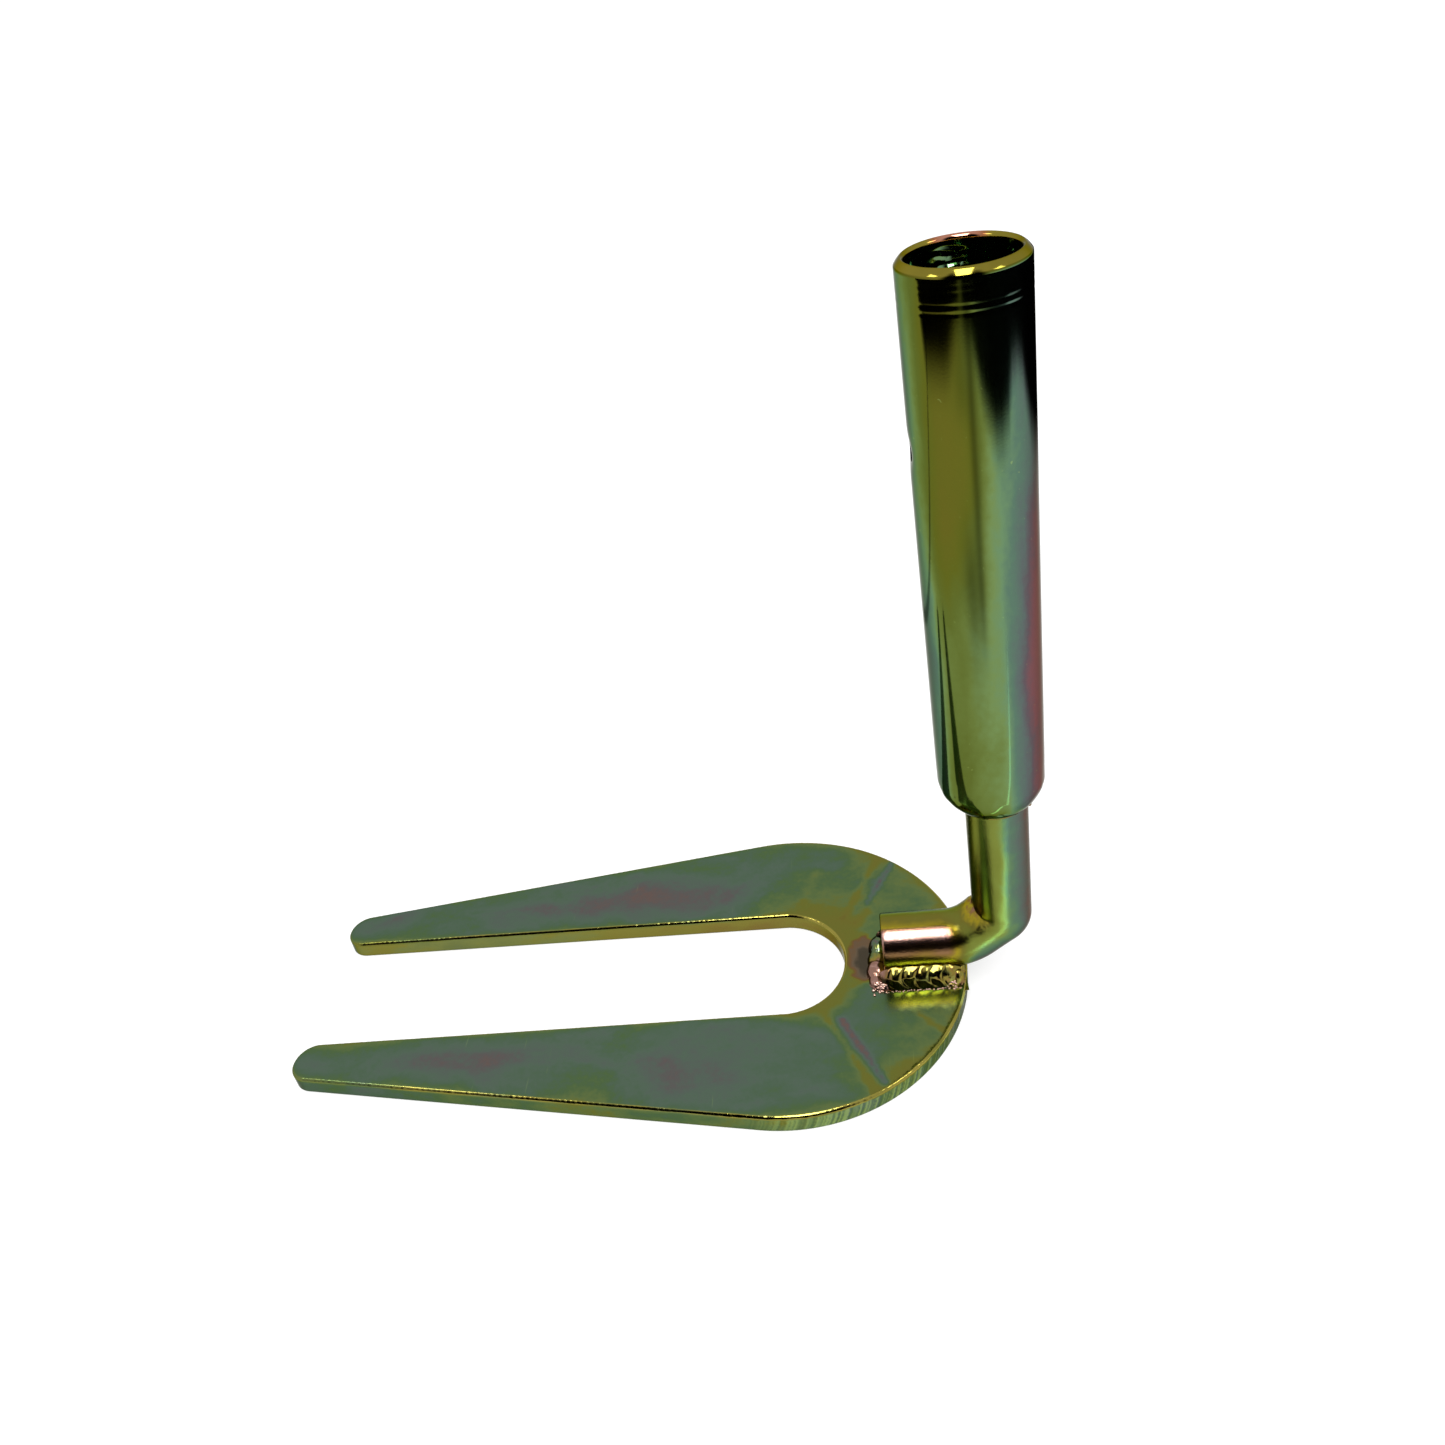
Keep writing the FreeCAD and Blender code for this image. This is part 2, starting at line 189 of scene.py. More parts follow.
def tube(rings, closed=False):
    """A bmesh skinned over rings of points, with its ends filled unless the last meets the first."""
    bm = bmesh.new()
    rows = [[bm.verts.new(p) for p in ring] for ring in rings]
    bridge(bm, rows, closed)
    for row in [] if closed else (rows[0], rows[-1]):
        middle = bm.verts.new(middle_of([v.co for v in row]))
        for a, b in zip(row, row[1:] + row[:1]):
            bm.faces.new((middle, a, b))
    return bm


def add_object(name, data):
    """A new object in the scene."""
    made = bpy.data.objects.new(name, data)
    scene.collection.objects.link(made)
    return made


def store(mesh, kind, values):
    """Stores one value for each point of a mesh."""
    mesh.attributes.new(kind, "FLOAT", "POINT").data.foreach_set("value", values)


def make_piece(name, bm, film_of, material, stands_for=None, crease=40, wear_and_glints=None):
    """Turns a bmesh in millimetres into a piece that rides on the root body. Its film, and any kinds of
    wear and painted glints that its finish reads, are stored on its points."""
    bmesh.ops.recalc_face_normals(bm, faces=bm.faces)
    mesh = bpy.data.meshes.new(name)
    bm.to_mesh(mesh)
    bm.free()
    for kind, value_of in {"film": film_of, **(wear_and_glints or {})}.items():
        store(mesh, kind, [value_of(v.co) for v in mesh.vertices])
    mesh.transform(Matrix.Scale(MM, 4))
    mesh.polygons.foreach_set("use_smooth", [True] * len(mesh.polygons))
    mesh.set_sharp_from_angle(angle=radians(crease))
    mesh.materials.append(material)
    piece = add_object(name, mesh)
    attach(piece, "root")
    if stands_for:
        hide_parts(stands_for)


def cut_away(bm, tool):
    """The bmesh less a tool bmesh, by an exact boolean."""
    objects = []
    for part in (bm, tool):
        mesh = bpy.data.meshes.new("cutting")
        part.to_mesh(mesh)
        part.free()
        objects.append(add_object("cutting", mesh))
    body, cutter = objects
    cut = body.modifiers.new("cut", "BOOLEAN")
    cut.operation = "DIFFERENCE"
    cut.solver = "EXACT"
    cut.object = cutter
    seen = body.evaluated_get(bpy.context.evaluated_depsgraph_get())
    done = bmesh.new()
    done.from_mesh(seen.to_mesh())
    seen.to_mesh_clear()
    for thing in objects:
        mesh = thing.data
        bpy.data.objects.remove(thing)
        bpy.data.meshes.remove(mesh)
    return done


# ---- finishes


def add_node(tree, kind, inputs=None, stops=None, **settings):
    """Adds one node to a tree: its settings, its ramp stops, and values or links for its inputs."""
    made = tree.nodes.new(kind)
    for name, value in settings.items():
        setattr(made, name, value)
    if stops:
        ramp = made.color_ramp
        while len(ramp.elements) < len(stops):
            ramp.elements.new(1.0)
        for element, (place, colour) in zip(ramp.elements, stops):
            element.position = place
            element.color = linear(colour)
    for socket, value in (inputs or {}).items():
        if isinstance(value, bpy.types.NodeSocket):
            tree.links.new(value, made.inputs[socket])
        else:
            made.inputs[socket].default_value = value
    return made


def new_material(name):
    """A material with an empty node tree."""
    material = bpy.data.materials.new(name)
    material.use_nodes = True
    material.node_tree.nodes.clear()
    return material, material.node_tree


# Yellow chromate over zinc on steel: a clear film a few hundred nanometres thick, whose
# thickness gives its colour. Thin film is copper and gold, then olive, green, teal, slate
# and mauve as it thickens. Each finish below reads the film that its mesh carries, adds
# the drift of the plating bath to it, and turns it to a colour with one ramp.
# Where metal is scraped bare of film it is yellow-green, and the same yellow-green paints glints on the
# heel's cut face and a painted reflection beside the near bead; where it is rubbed it is gold.
SCRATCH_AND_GLINT, RUBBED = "#a6bd6c", "#9a8d42"
# The film darkens what would be a white glare at the very edge of a bare metal.
EDGE_TINT = "#b4b4ac"


def plated_finish(name, stops, drift, stretch, cloud, rough, grit, bump, scratch):
    """Chromated zinc: drift is how far the film wanders, cloud the size of its patches in mm,
    rough the low and high roughness, grit and bump the width and height of its grain in mm."""
    material, tree = new_material(name)
    place = add_node(tree, "ShaderNodeTexCoord").outputs["Object"]
    # The last attribute holds painted glints and a painted reflection on the plate.
    film, polish, scrape = [
        add_node(tree, "ShaderNodeAttribute", attribute_name=kind).outputs["Fac"]
        for kind in ("film", "polish", "scrape")
    ]
    drawn = add_node(tree, "ShaderNodeMapping", {"Vector": place, "Scale": stretch}).outputs[0]
    # Hairline scratches from handling, drawn coarser than real ones so that they show.
    along = {"Vector": place, "Scale": (1.0, 0.06, 1.0), "Rotation": (0.3, 0.2, 0.5)}
    lines = add_node(tree, "ShaderNodeMapping", along).outputs[0]
    # Broad clouds and a fine mottle in the film, the scratches, and the metal's grain: each a
    # noise with the width of its features in mm, its detail, its roughness and its bend.
    noises = []
    for where, width, detail, harsh, bend in (
        (drawn, cloud, 4.0, 0.55, 0.6),
        (place, grit * 4, 2.0, 0.5, 0.0),
        (lines, 0.9, 1.0, 0.5, 0.4),
        (place, grit, 3.0, 0.6, 0.0),
    ):
        look = {"Vector": where, "Scale": 1 / (width * MM), "Detail": detail}
        look.update({"Roughness": harsh, "Distortion": bend})
        noises.append(add_node(tree, "ShaderNodeTexNoise", look).outputs["Fac"])
    clouds, mottle, hair, grain = noises
    # A band of each noise, stretched from a low to a high value.
    bands = (
        (clouds, 0.3, 0.7, -drift, drift),
        (mottle, 0.3, 0.7, -drift / 5, drift / 5),
        (hair, 0.76, 0.82, 0.0, scratch),
        (clouds, 0.3, 0.7, *rough),
    )
    wander, fine, scratches, sheen = [
        add_node(tree, "ShaderNodeMapRange", dict(enumerate(band))).outputs[0] for band in bands
    ]
    # Thick film wanders more than thin film, so both drifts are shares of it.
    share = add_node(tree, "ShaderNodeMath", {0: wander, 1: fine}, operation="ADD").outputs[0]
    sums = {0: film, 1: share, 2: film}
    drifted = add_node(tree, "ShaderNodeMath", sums, operation="MULTIPLY_ADD").outputs[0]
    colour = add_node(tree, "ShaderNodeValToRGB", {"Fac": drifted}, stops).outputs[0]
    # Scratches and the painted glints turn the colour pale yellow-green; polish turns it gold.
    scratched_or_glinting = {0: scratches, 1: scrape}
    scratched_or_glinting = add_node(tree, "ShaderNodeMath", scratched_or_glinting, operation="ADD", use_clamp=True).outputs[0]
    for worn, wear_or_glint_colour in ((scratched_or_glinting, SCRATCH_AND_GLINT), (polish, RUBBED)):
        ends = {0: worn, 6: colour, 7: linear(wear_or_glint_colour)}
        colour = add_node(tree, "ShaderNodeMix", ends, data_type="RGBA").outputs[2]
    ends = {0: polish, 2: sheen, 3: rough[0] * 0.35}
    relief = {"Height": grain, "Strength": 1.0, "Distance": bump * MM}
    look = {
        "Base Color": colour,
        "Metallic": 1.0,
        "Roughness": add_node(tree, "ShaderNodeMix", ends, data_type="FLOAT").outputs[0],
        "Specular Tint": linear(EDGE_TINT),
        "Normal": add_node(tree, "ShaderNodeBump", relief).outputs[0],
    }
    shader = add_node(tree, "ShaderNodeBsdfPrincipled", look).outputs[0]
    add_node(tree, "ShaderNodeOutputMaterial", {"Surface": shader})
    return material


# Laser-cut mild steel plate, yellow chromate over zinc: satin, muted green with olive edges
# and faint purple clouds.
plate_finish = plated_finish(
    "yellow_chromate_plate",
    [
        (0.00, "#3f3a30"), (0.05, "#625443"), (0.10, "#6b4f34"), (0.16, "#67592a"),
        (0.22, "#6a672c"), (0.30, "#66692d"), (0.38, "#5d6d40"), (0.48, "#4c6340"),
        (0.56, "#4d624e"), (0.64, "#526455"), (0.74, "#546057"), (0.86, "#5a5755"),
        (1.00, "#64544f"),
    ],
    drift=0.27, stretch=(0.55, 1.0, 1.0), cloud=21, rough=(0.15, 0.23),
    grit=0.35, bump=0.008, scratch=0.14,
)

# Drawn steel tube, yellow chromate over zinc: nearly mirror smooth, olive-gold turning
# green, teal and mauve round its side.
tube_finish = plated_finish(
    "yellow_chromate_tube",
    [
        (0.00, "#b07a66"), (0.06, "#99623f"), (0.12, "#82762d"), (0.20, "#5d591c"),
        (0.28, "#565b1b"), (0.36, "#556127"), (0.42, "#5f6f35"), (0.48, "#68804b"),
        (0.54, "#62825d"), (0.62, "#536f5e"), (0.72, "#56615f"), (0.80, "#5b5056"),
        (0.90, "#744d52"), (1.00, "#7c5151"),
    ],
    drift=0.10, stretch=(1.0, 1.0, 0.4), cloud=14, rough=(0.05, 0.10),
    grit=0.5, bump=0.0024, scratch=0.25,
)

# Drawn round bar, yellow chromate over zinc: smooth, olive and green, with copper-pink
# where the weld's heat thinned the film.
bar_finish = plated_finish(
    "yellow_chromate_bar",
    [
        (0.00, "#a88d86"), (0.06, "#8b6658"), (0.12, "#7d6036"), (0.18, "#938322"),
        (0.26, "#6b6529"), (0.34, "#686e2d"), (0.42, "#717b36"), (0.48, "#708549"),
        (0.54, "#5f7c50"), (0.62, "#536d5a"), (0.72, "#57625c"), (0.82, "#5e5a57"),
        (0.92, "#6f5250"), (1.00, "#7b5353"),
    ],
    drift=0.09, stretch=(1.0, 1.0, 1.0), cloud=9, rough=(0.13, 0.20),
    grit=0.55, bump=0.06, scratch=0.25,
)

# Weld metal as it froze, yellow chromate over zinc: glossy ripples, dark in the troughs and
# yellow-white on the crests, with pink and grey-green patches.
weld_finish = plated_finish(
    "yellow_chromate_weld",
    [
        (0.00, "#c9a899"), (0.08, "#8f6c62"), (0.18, "#7d603f"), (0.30, "#857635"),
        (0.45, "#76743b"), (0.60, "#5b6a45"), (0.80, "#546055"), (1.00, "#64544f"),
    ],
    drift=0.45, stretch=(1.0, 1.0, 1.0), cloud=3.5, rough=(0.08, 0.20),
    grit=0.3, bump=0.01, scratch=0.0,
)

WELDS = ("socket_base_weld", "near_side_weld", "far_side_weld", "front_end_weld", "heel_edge_weld")
cad_finishes = {"fork_blade": plate_finish, "neck_bar": bar_finish, "socket_tube": tube_finish}
cad_finishes.update(dict.fromkeys(WELDS, weld_finish))
for node_name, finish in cad_finishes.items():
    cad_mesh = frame["nodes"][node_name].data
    cad_mesh.materials.clear()
    cad_mesh.materials.append(finish)


# ---- fork plate


def arc_points(centre, radius, start, end, step):
    """Points along an arc, angles in degrees, about a step apart, without its last point."""
    count = max(2, round(radians(abs(end - start)) * radius / step))
    angles = [radians(start + (end - start) * i / count) for i in range(count)]
    return [centre + Vector((cos(a), sin(a))) * radius for a in angles]


def line_points(start, end, step):
    """Points along a line about a step apart, without its last point."""
    count = max(1, round((end - start).length / step))
    return [start.lerp(end, i / count) for i in range(count)]


def fork_outline(step):
    """The plate's outline, anticlockwise from above: heel, far tine, slot, near tine."""
    heel = Vector((HEEL_X, 0))
    slot = Vector((SLOT_X, 0))
    reach = Vector((TIP_X - HEEL_X, TIP_Y))
    lean = acos((HEEL_RADIUS - TIP_RADIUS) / reach.length)
    edge = degrees(atan2(reach.y, reach.x) - lean)
    out = Vector((cos(radians(edge)), sin(radians(edge))))
    far = Vector((TIP_X, TIP_Y))
    flip = Vector((1, -1))
    root = degrees(atan2(SLOT_ROOT.y, SLOT_ROOT.x - SLOT_X))
    points = arc_points(heel, HEEL_RADIUS, -edge, edge, step)
    points += line_points(heel + out * HEEL_RADIUS, far + out * TIP_RADIUS, step)
    points += arc_points(far, TIP_RADIUS, edge, 270, step)
    points += line_points(far - Vector((0, TIP_RADIUS)), SLOT_ROOT, step)
    points += arc_points(slot, SLOT_RADIUS, root, -root, step)
    near = far * flip
    points += line_points(SLOT_ROOT * flip, near + Vector((0, TIP_RADIUS)), step)
    points += arc_points(near, TIP_RADIUS, 90, 360 - edge, step)
    points += line_points(near + out * flip * TIP_RADIUS, heel + out * flip * HEEL_RADIUS, step)
    return points


def search_tree(points):
    """A tree that finds the nearest of some points in the plate's plane."""
    tree = kdtree.KDTree(len(points))
    for i, p in enumerate(points):
        tree.insert(p.to_3d(), i)
    tree.balance()
    return tree


OUTLINE_STEP = 0.45
outline = fork_outline(OUTLINE_STEP)
outline_tree = search_tree(outline)
slot_end = SLOT_X + SLOT_RADIUS + 1
slot_tree = search_tree([p for p in outline if abs(p.y) < SLOT_RADIUS + 0.8 and p.x < slot_end])

# How far the rounded upper edge reaches below the top face.
EDGE_BAND = 1.05

# Streaks that the draining rinse left across the heel: start, end, half width, change of film.
STREAKS = [
    ((49.0, -19.6), (63.6, -49.6), 1.4, -0.20),
    ((55.2, -24.4), (66.8, -47.4), 1.0, 0.46),
    ((57.6, 17.0), (71.6, 46.5), 1.2, -0.17),
    ((66.0, 24.0), (76.5, 43.5), 1.0, 0.40),
    ((78.0, -23.0), (87.5, -32.8), 0.9, -0.22),
    ((56.5, 9.0), (66.0, 20.0), 1.6, -0.16),
    ((44.0, 26.0), (49.0, 41.0), 1.8, -0.09),
    ((47.9, -18.6), (49.2, -20.6), 1.1, -0.12),
    ((63.0, -49.6), (63.8, -51.4), 1.2, -0.14),
    ((56.8, -9.8), (60.0, -11.2), 0.9, -0.12),
]


def streak_film(x, y):
    """The change of film that the rinse streaks give at a point on the plate."""
    total = 0.0
    at = Vector((x + 0.3 * ripple(x / 5, y / 5, 3.1), y + 0.3 * ripple(x / 5, y / 5, 8.2)))
    for start, end, half, change in STREAKS:
        a, b = Vector(start), Vector(end)
        along = (at - a).dot(b - a) / (b - a).length_squared
        t = min(1.0, max(0.0, along))
        gap = (at - a.lerp(b, t)).length
        total += change * bell(gap, half)
    return total


# Broad clouds where the film is thicker or thinner: centre, half length, half width and change of film.
CLOUDS = [
    ((-14.0, 34.0), 34.0, 8.0, 0.19),
    ((-48.0, 31.0), 14.0, 5.0, 0.08),
    ((-80.0, -29.5), 18.0, 4.0, 0.10),
    ((-50.0, -31.5), 20.0, 5.0, 0.17),
    ((6.0, -36.0), 26.0, 8.0, 0.05),
    ((80.0, -36.0), 12.0, 10.0, 0.07),
    ((-30.0, -42.0), 22.0, 4.0, -0.09),
    ((44.0, 38.0), 12.0, 8.0, -0.05),
]

# Where the weld's start burned the film off the plate, in front of the bar's cut end.
HEAT_X = 63.4


def heel_share(x, y):
    """How far a point is on the plate's round back, 0 to 1."""
    return smooth(20, 50, x) * smooth(40, 52, hypot(x - HEEL_X, y))


def drag_line(along, level):
    """Height of the cut face's drag lines; they lean back as the beam cuts down."""
    lag = along + 0.05 * (DRAWN_THICK - level) ** 2
    return abs(ripple(lag / 0.8, 0, 0, 2.0)) + 0.6 * abs(ripple(lag / 2.1, 0, 5, 7.0))


def heel_length(x, y):
    """Distance round the heel's arc."""
    return atan2(y, x - HEEL_X) * HEEL_RADIUS


def plate_film(point):
    """Film on the plate: thin at its edges, round the slot and at the weld, thick mid tine."""
    x, y, z = point
    edge_gap = outline_tree.find((x, y, 0))[2]
    slot_gap = slot_tree.find((x, y, 0))[2]
    if z < PLATE_TOP - EDGE_BAND:
        if slot_gap < 3:
            band = 0.20 + 0.16 * smooth(30, -70, x)
        else:
            band = 0.39 + 0.19 * smooth(-30, -95, x)
        band += 0.09 * ripple(x / 9, y / 9, z / 3, 4.0)
        return band + 0.30 * heel_share(x, y) * drag_line(heel_length(x, y), z)
    film = 0.58 + 0.010 * min(edge_gap, 12)
    film -= 0.20 * exp(-edge_gap / 1.2)
    film -= (0.08 + 0.16 * smooth(15, 45, x)) * exp(-slot_gap / 3.8)
    film -= 0.21 * smooth(12, 62, x) + 0.07 * smooth(58, 80, x)
    film -= 0.10 * bell(slot_gap - 4, 9) * smooth(38, 56, x)
    film -= 0.05 * smooth(12, 2, abs(x - TIP_X)) * smooth(-5, 5, y)
    film += 0.09 * ripple(x / 15, y / 6, 0, 21.0) + 0.05 * ripple(x / 5, y / 2.5, 0, 25.0)
    for (cx, cy), half_long, half_wide, change in CLOUDS:
        film += change * bell(x - cx, half_long) * bell(y - cy, half_wide)
    # Painted reflection: the film is raised in a band beside the near bead, where the plate mirrors the
    # bar's bright side.
    film += 0.06 * smooth(-25, -22, y) * smooth(-14, -17, y) * smooth(68, 76, x)
    film = max(film + streak_film(x, y), 0.25)
    wobble = 0.5 * ripple(x / 2.2, y / 2.2, 0, 12.0)
    heat = hypot((x - HEAT_X) / 5.4, (y + 0.6) / 9.2) + 0.3 * wobble
    core = hypot((x - HEAT_X - 0.2) / 3.0, (y + 1.8) / 6.2) + 0.5 * wobble
    burn = smooth(1.15, 0.95, heat)
    film = film * (1 - burn) + 0.06 * burn
    dark = smooth(1.1, 0.9, core)
    return film * (1 - dark) + 0.005 * dark


def edge_polish(point):
    """Burnishing on the rounded upper edge and on the slot's sides."""
    x, y, z = point
    if z < PLATE_TOP - EDGE_BAND:
        return 0.26 if slot_tree.find((x, y, 0))[2] < 3 else 0.0
    rub = 0.6 + 0.5 * ripple(x / 7, y / 7, 0, 5.0)
    rub *= 1 - 0.8 * smooth(-70, -95, x)
    return rub * smooth(PLATE_TOP - EDGE_BAND, PLATE_TOP - 0.7, z) * smooth(PLATE_TOP, PLATE_TOP - 0.05, z)


def painted_edge_glints(point):
    """Painted glints as pale strokes along the drag lines on the heel's cut face, and a painted reflection
    as a pale band on the plate beside the near bead, where the bar's bright side is mirrored."""
    x, y, z = point
    if z > PLATE_TOP - EDGE_BAND:
        # Painted reflection: a pale band beside the near bead, where the plate mirrors the bar's bright
        # side.
        wander = y + 1.2 * ripple(x / 2.6, 0, 0, 6.0)
        band = smooth(-23.0, -21.2, wander) * smooth(-14.5, -16.0, wander)
        band *= smooth(71, 76, x) * (0.75 + 0.5 * ripple(x / 1.5, y / 1.9, 0, 8.0))
        return 0.95 * band
    # Painted glints: pale strokes along the drag lines on the heel's cut face.
    glint_strokes = smooth(0.16, 0.55, drag_line(heel_length(x, y) + 0.4, z))
    return (0.18 + 0.30 * smooth(-25, -45, y)) * heel_share(x, y) * glint_strokes


# The upper edge as (inset, depth below the top face): a broken corner along the tines, and
# a fuller round on the heel.
BROKEN_EDGE = [
    (0.0, 0.95), (0.08, 0.68), (0.22, 0.45), (0.36, 0.28), (0.5, 0.15), (0.62, 0.07),
    (0.74, 0.03), (0.9, 0.0),
]
ROUND_EDGE = [
    (0.0, 1.3), (0.04, 0.98), (0.15, 0.69), (0.33, 0.43), (0.54, 0.25), (0.77, 0.11),
    (1.03, 0.03), (1.3, 0.0),
]
# The cut side as (inset, level), from the underside up to where the upper edge begins.
CUT_SIDE = [(1.6, 0.0), (0.5, 0.0), (0.12, 0.14), (0.0, 0.45)]
CUT_SIDE += [(0.0, z) for z in (1.0, 1.6, 2.2, 2.8, 3.4, 4.0, 4.5)]
# Rows of the upper edge that carry the torch's comb of notches, counted from the underside.
COMB_ROWS = range(len(CUT_SIDE) + 2, len(CUT_SIDE) + 7)
FLAT_INSET = 2.2


def fork_plate():
    """The plate: cut sides with drag lines, a burred upper edge and flat faces."""
    count = len(outline)
    runs = [b - a for a, b in zip(outline[-1:] + outline, outline[1:] + outline[:1])]
    normals = [Vector((run.y, -run.x)).normalized() for run in runs]
    lengths = [0.0]
    for a, b in zip(outline, outline[1:]):
        lengths.append(lengths[-1] + (b - a).length)
    sides = len(CUT_SIDE)
    rows = sides + len(BROKEN_EDGE) + 1
    bm = bmesh.new()
    rings = [[] for row in range(rows)]
    for p, n, s in zip(outline, normals, lengths):
        heel = heel_share(p.x, p.y)
        along = heel_length(p.x, p.y) if heel else s
        full = heel * smooth(72, 46, p.x)
        worn = 0.5 + 0.5 * ripple(s / 14, 0, 3)
        for row in range(rows):
            depth = 0.0
            wave = 0.0
            if row < sides:
                inset, level = CUT_SIDE[row]
            elif row < rows - 1:
                broken, whole = BROKEN_EDGE[row - sides], ROUND_EDGE[row - sides]
                inset = broken[0] * (1 - full) + whole[0] * full
                level = DRAWN_THICK - broken[1] * (1 - full) - whole[1] * full
            else:
                inset, level = FLAT_INSET, DRAWN_THICK
            if 0.3 < level < 5.2:
                depth = (0.04 + 0.26 * heel) * drag_line(along, level) * smooth(0.3, 1.2, level)
            if row in COMB_ROWS:
                # The torch leaves a fine comb of notches along the upper corner.
                depth += 0.20 * abs(ripple(s / 0.6, 1, 0, 9.0)) * worn
                wave = 0.09 * abs(ripple(s / 0.6, 4, 0))
            at = p - n * (inset + depth)
            rings[row].append(bm.verts.new((at.x, at.y, level * PLATE_TOP / DRAWN_THICK - wave)))
    bridge(bm, rings)
    for ring, pitch in ((rings[-1], 1.5), (rings[0], 6.0)):
        level = ring[0].co.z
        border = [v.co.to_2d() for v in ring]
        inner = []
        x = blade_low.x / MM
        row = 0
        while x < blade_high.x / MM:
            y = -HEEL_RADIUS + (row % 2) * pitch / 2
            while y < HEEL_RADIUS:
                index, gap = outline_tree.find((x, y, 0))[1:]
                side = (Vector((x, y)) - outline[index]).dot(normals[index])
                if side < 0 and gap > FLAT_INSET + pitch * 0.6:
                    inner.append(Vector((x, y)))
                y += pitch
            x += pitch * 0.87
            row += 1
        loop = [(i, (i + 1) % count) for i in range(count)]
        flat = delaunay_2d_cdt(border + inner, loop, [], 1, 1e-5)
        made = []
        for at, origins in zip(flat[0], flat[3]):
            if origins and origins[0] < count:
                made.append(ring[origins[0]])
            else:
                made.append(bm.verts.new((at.x, at.y, level)))
        for face in flat[2]:
            bm.faces.new([made[i] for i in face])
    # Polish is rubbed wear; the second holds painted glints and a painted reflection.
    wear_and_glints = {"polish": edge_polish, "scrape": painted_edge_glints}
    make_piece("fork_plate", bm, plate_film, plate_finish, "fork_blade", 60, wear_and_glints)


fork_plate()


# ---- bent neck bar

FIRST_BEND_X = 95.4
FIRST_BEND_RADIUS = 15.0
FIRST_RISE = radians(41)
CREASE_GAP = 0.45
OUTER_ELBOW_RADIUS = 11.0
# Points in each ring of the bar, and steps round its soft bend and its kink.
RING_POINTS, BEND_STEPS, KINK_STEPS = 96, 14, 26

RISER_FOOT = SOCKET_FOOT + SOCKET_SIDE * BAR_OFFSET
SLOPE = Vector((cos(FIRST_RISE), 0, sin(FIRST_RISE)))
CORNER = Vector((FIRST_BEND_X, BAR_Y, BAR_Z))


def bar_ring(centre, inward, inner=BAR_RADIUS, side=BAR_RADIUS):
    """An oval ring: inner is its half height along the inward direction, side its half width."""
    ovals = [(inner * cos(t), side * sin(t)) for t in turns(RING_POINTS)]
    return [centre + inward * up + ACROSS * over for up, over in ovals]


def elbow_point():
    """Where the slope's centreline meets the riser's."""
    gap = RISER_FOOT - CORNER
    det = SLOPE.x * -SOCKET_AXIS.z + SLOPE.z * SOCKET_AXIS.x
    run = (gap.x * -SOCKET_AXIS.z + gap.z * SOCKET_AXIS.x) / det
    return CORNER + SLOPE * run


ELBOW = elbow_point()


def neck_rings():
    """Rings of the bar: a cut end, a run along the plate, a soft bend, a kink, then the riser."""
    rings = []
    up = Vector((0, 0, 1))
    front = Vector((BAR_FRONT, BAR_Y, BAR_Z))
    for back, shrink in ((0.0, 3.0), (0.0, 0.9), (0.12, 0.42), (0.38, 0.12), (0.8, 0.0)):
        radius = BAR_RADIUS - shrink
        rings.append(bar_ring(front + Vector((back, 0, 0)), up, radius, radius))
    bend_start = FIRST_BEND_X - FIRST_BEND_RADIUS * tan(FIRST_RISE / 2)
    x = BAR_FRONT + 2.0
    while x < bend_start:
        rings.append(bar_ring(Vector((x, BAR_Y, BAR_Z)), up))
        x += 1.2
    pivot = Vector((bend_start, BAR_Y, BAR_Z + FIRST_BEND_RADIUS))
    for i in range(BEND_STEPS + 1):
        a = FIRST_RISE * i / BEND_STEPS
        inward = Vector((-sin(a), 0, cos(a)))
        rings.append(bar_ring(pivot - inward * FIRST_BEND_RADIUS, inward))
    turn = SLOPE.angle(SOCKET_AXIS)
    middle = (SLOPE + SOCKET_AXIS).normalized()
    inside = Vector((-middle.z, 0, middle.x))
    half = turn / 2
    reach = BAR_RADIUS + CREASE_GAP
    hinge = ELBOW + inside * (reach / cos(half))
    start = ELBOW - SLOPE * (reach * tan(half))
    first = middle_of(rings[-1])
    normal = Vector((-SLOPE.z, 0, SLOPE.x))
    steps = max(2, round((start - first).length))
    rings += [bar_ring(first.lerp(start, i / steps), normal) for i in range(1, steps)]
    far_side = 2 * BAR_RADIUS + CREASE_GAP
    core = (far_side - OUTER_ELBOW_RADIUS) / cos(half)
    touch = atan2(OUTER_ELBOW_RADIUS * sin(half), core + OUTER_ELBOW_RADIUS * cos(half))
    for i in range(KINK_STEPS + 1):
        a = -half + turn * i / KINK_STEPS
        if abs(a) < touch:
            sag = core * sin(a)
            outer = core * cos(a) + sqrt(OUTER_ELBOW_RADIUS**2 - sag**2)
        else:
            outer = far_side / cos(half - abs(a))
        towards = Matrix.Rotation(-a, 3, "Y") @ inside
        centre = hinge - towards * (CREASE_GAP + outer) / 2
        squeeze = 1 + 0.02 * cos(a / half * pi / 2)
        rings.append(bar_ring(centre, towards, (outer - CREASE_GAP) / 2, BAR_RADIUS * squeeze))
    last = middle_of(rings[-1])
    top = RISER_FOOT + SOCKET_AXIS * 80
    steps = round((top - last).length / 1.6)
    rings += [bar_ring(last.lerp(top, i / steps), -SOCKET_SIDE) for i in range(1, steps + 1)]
    return rings, hinge


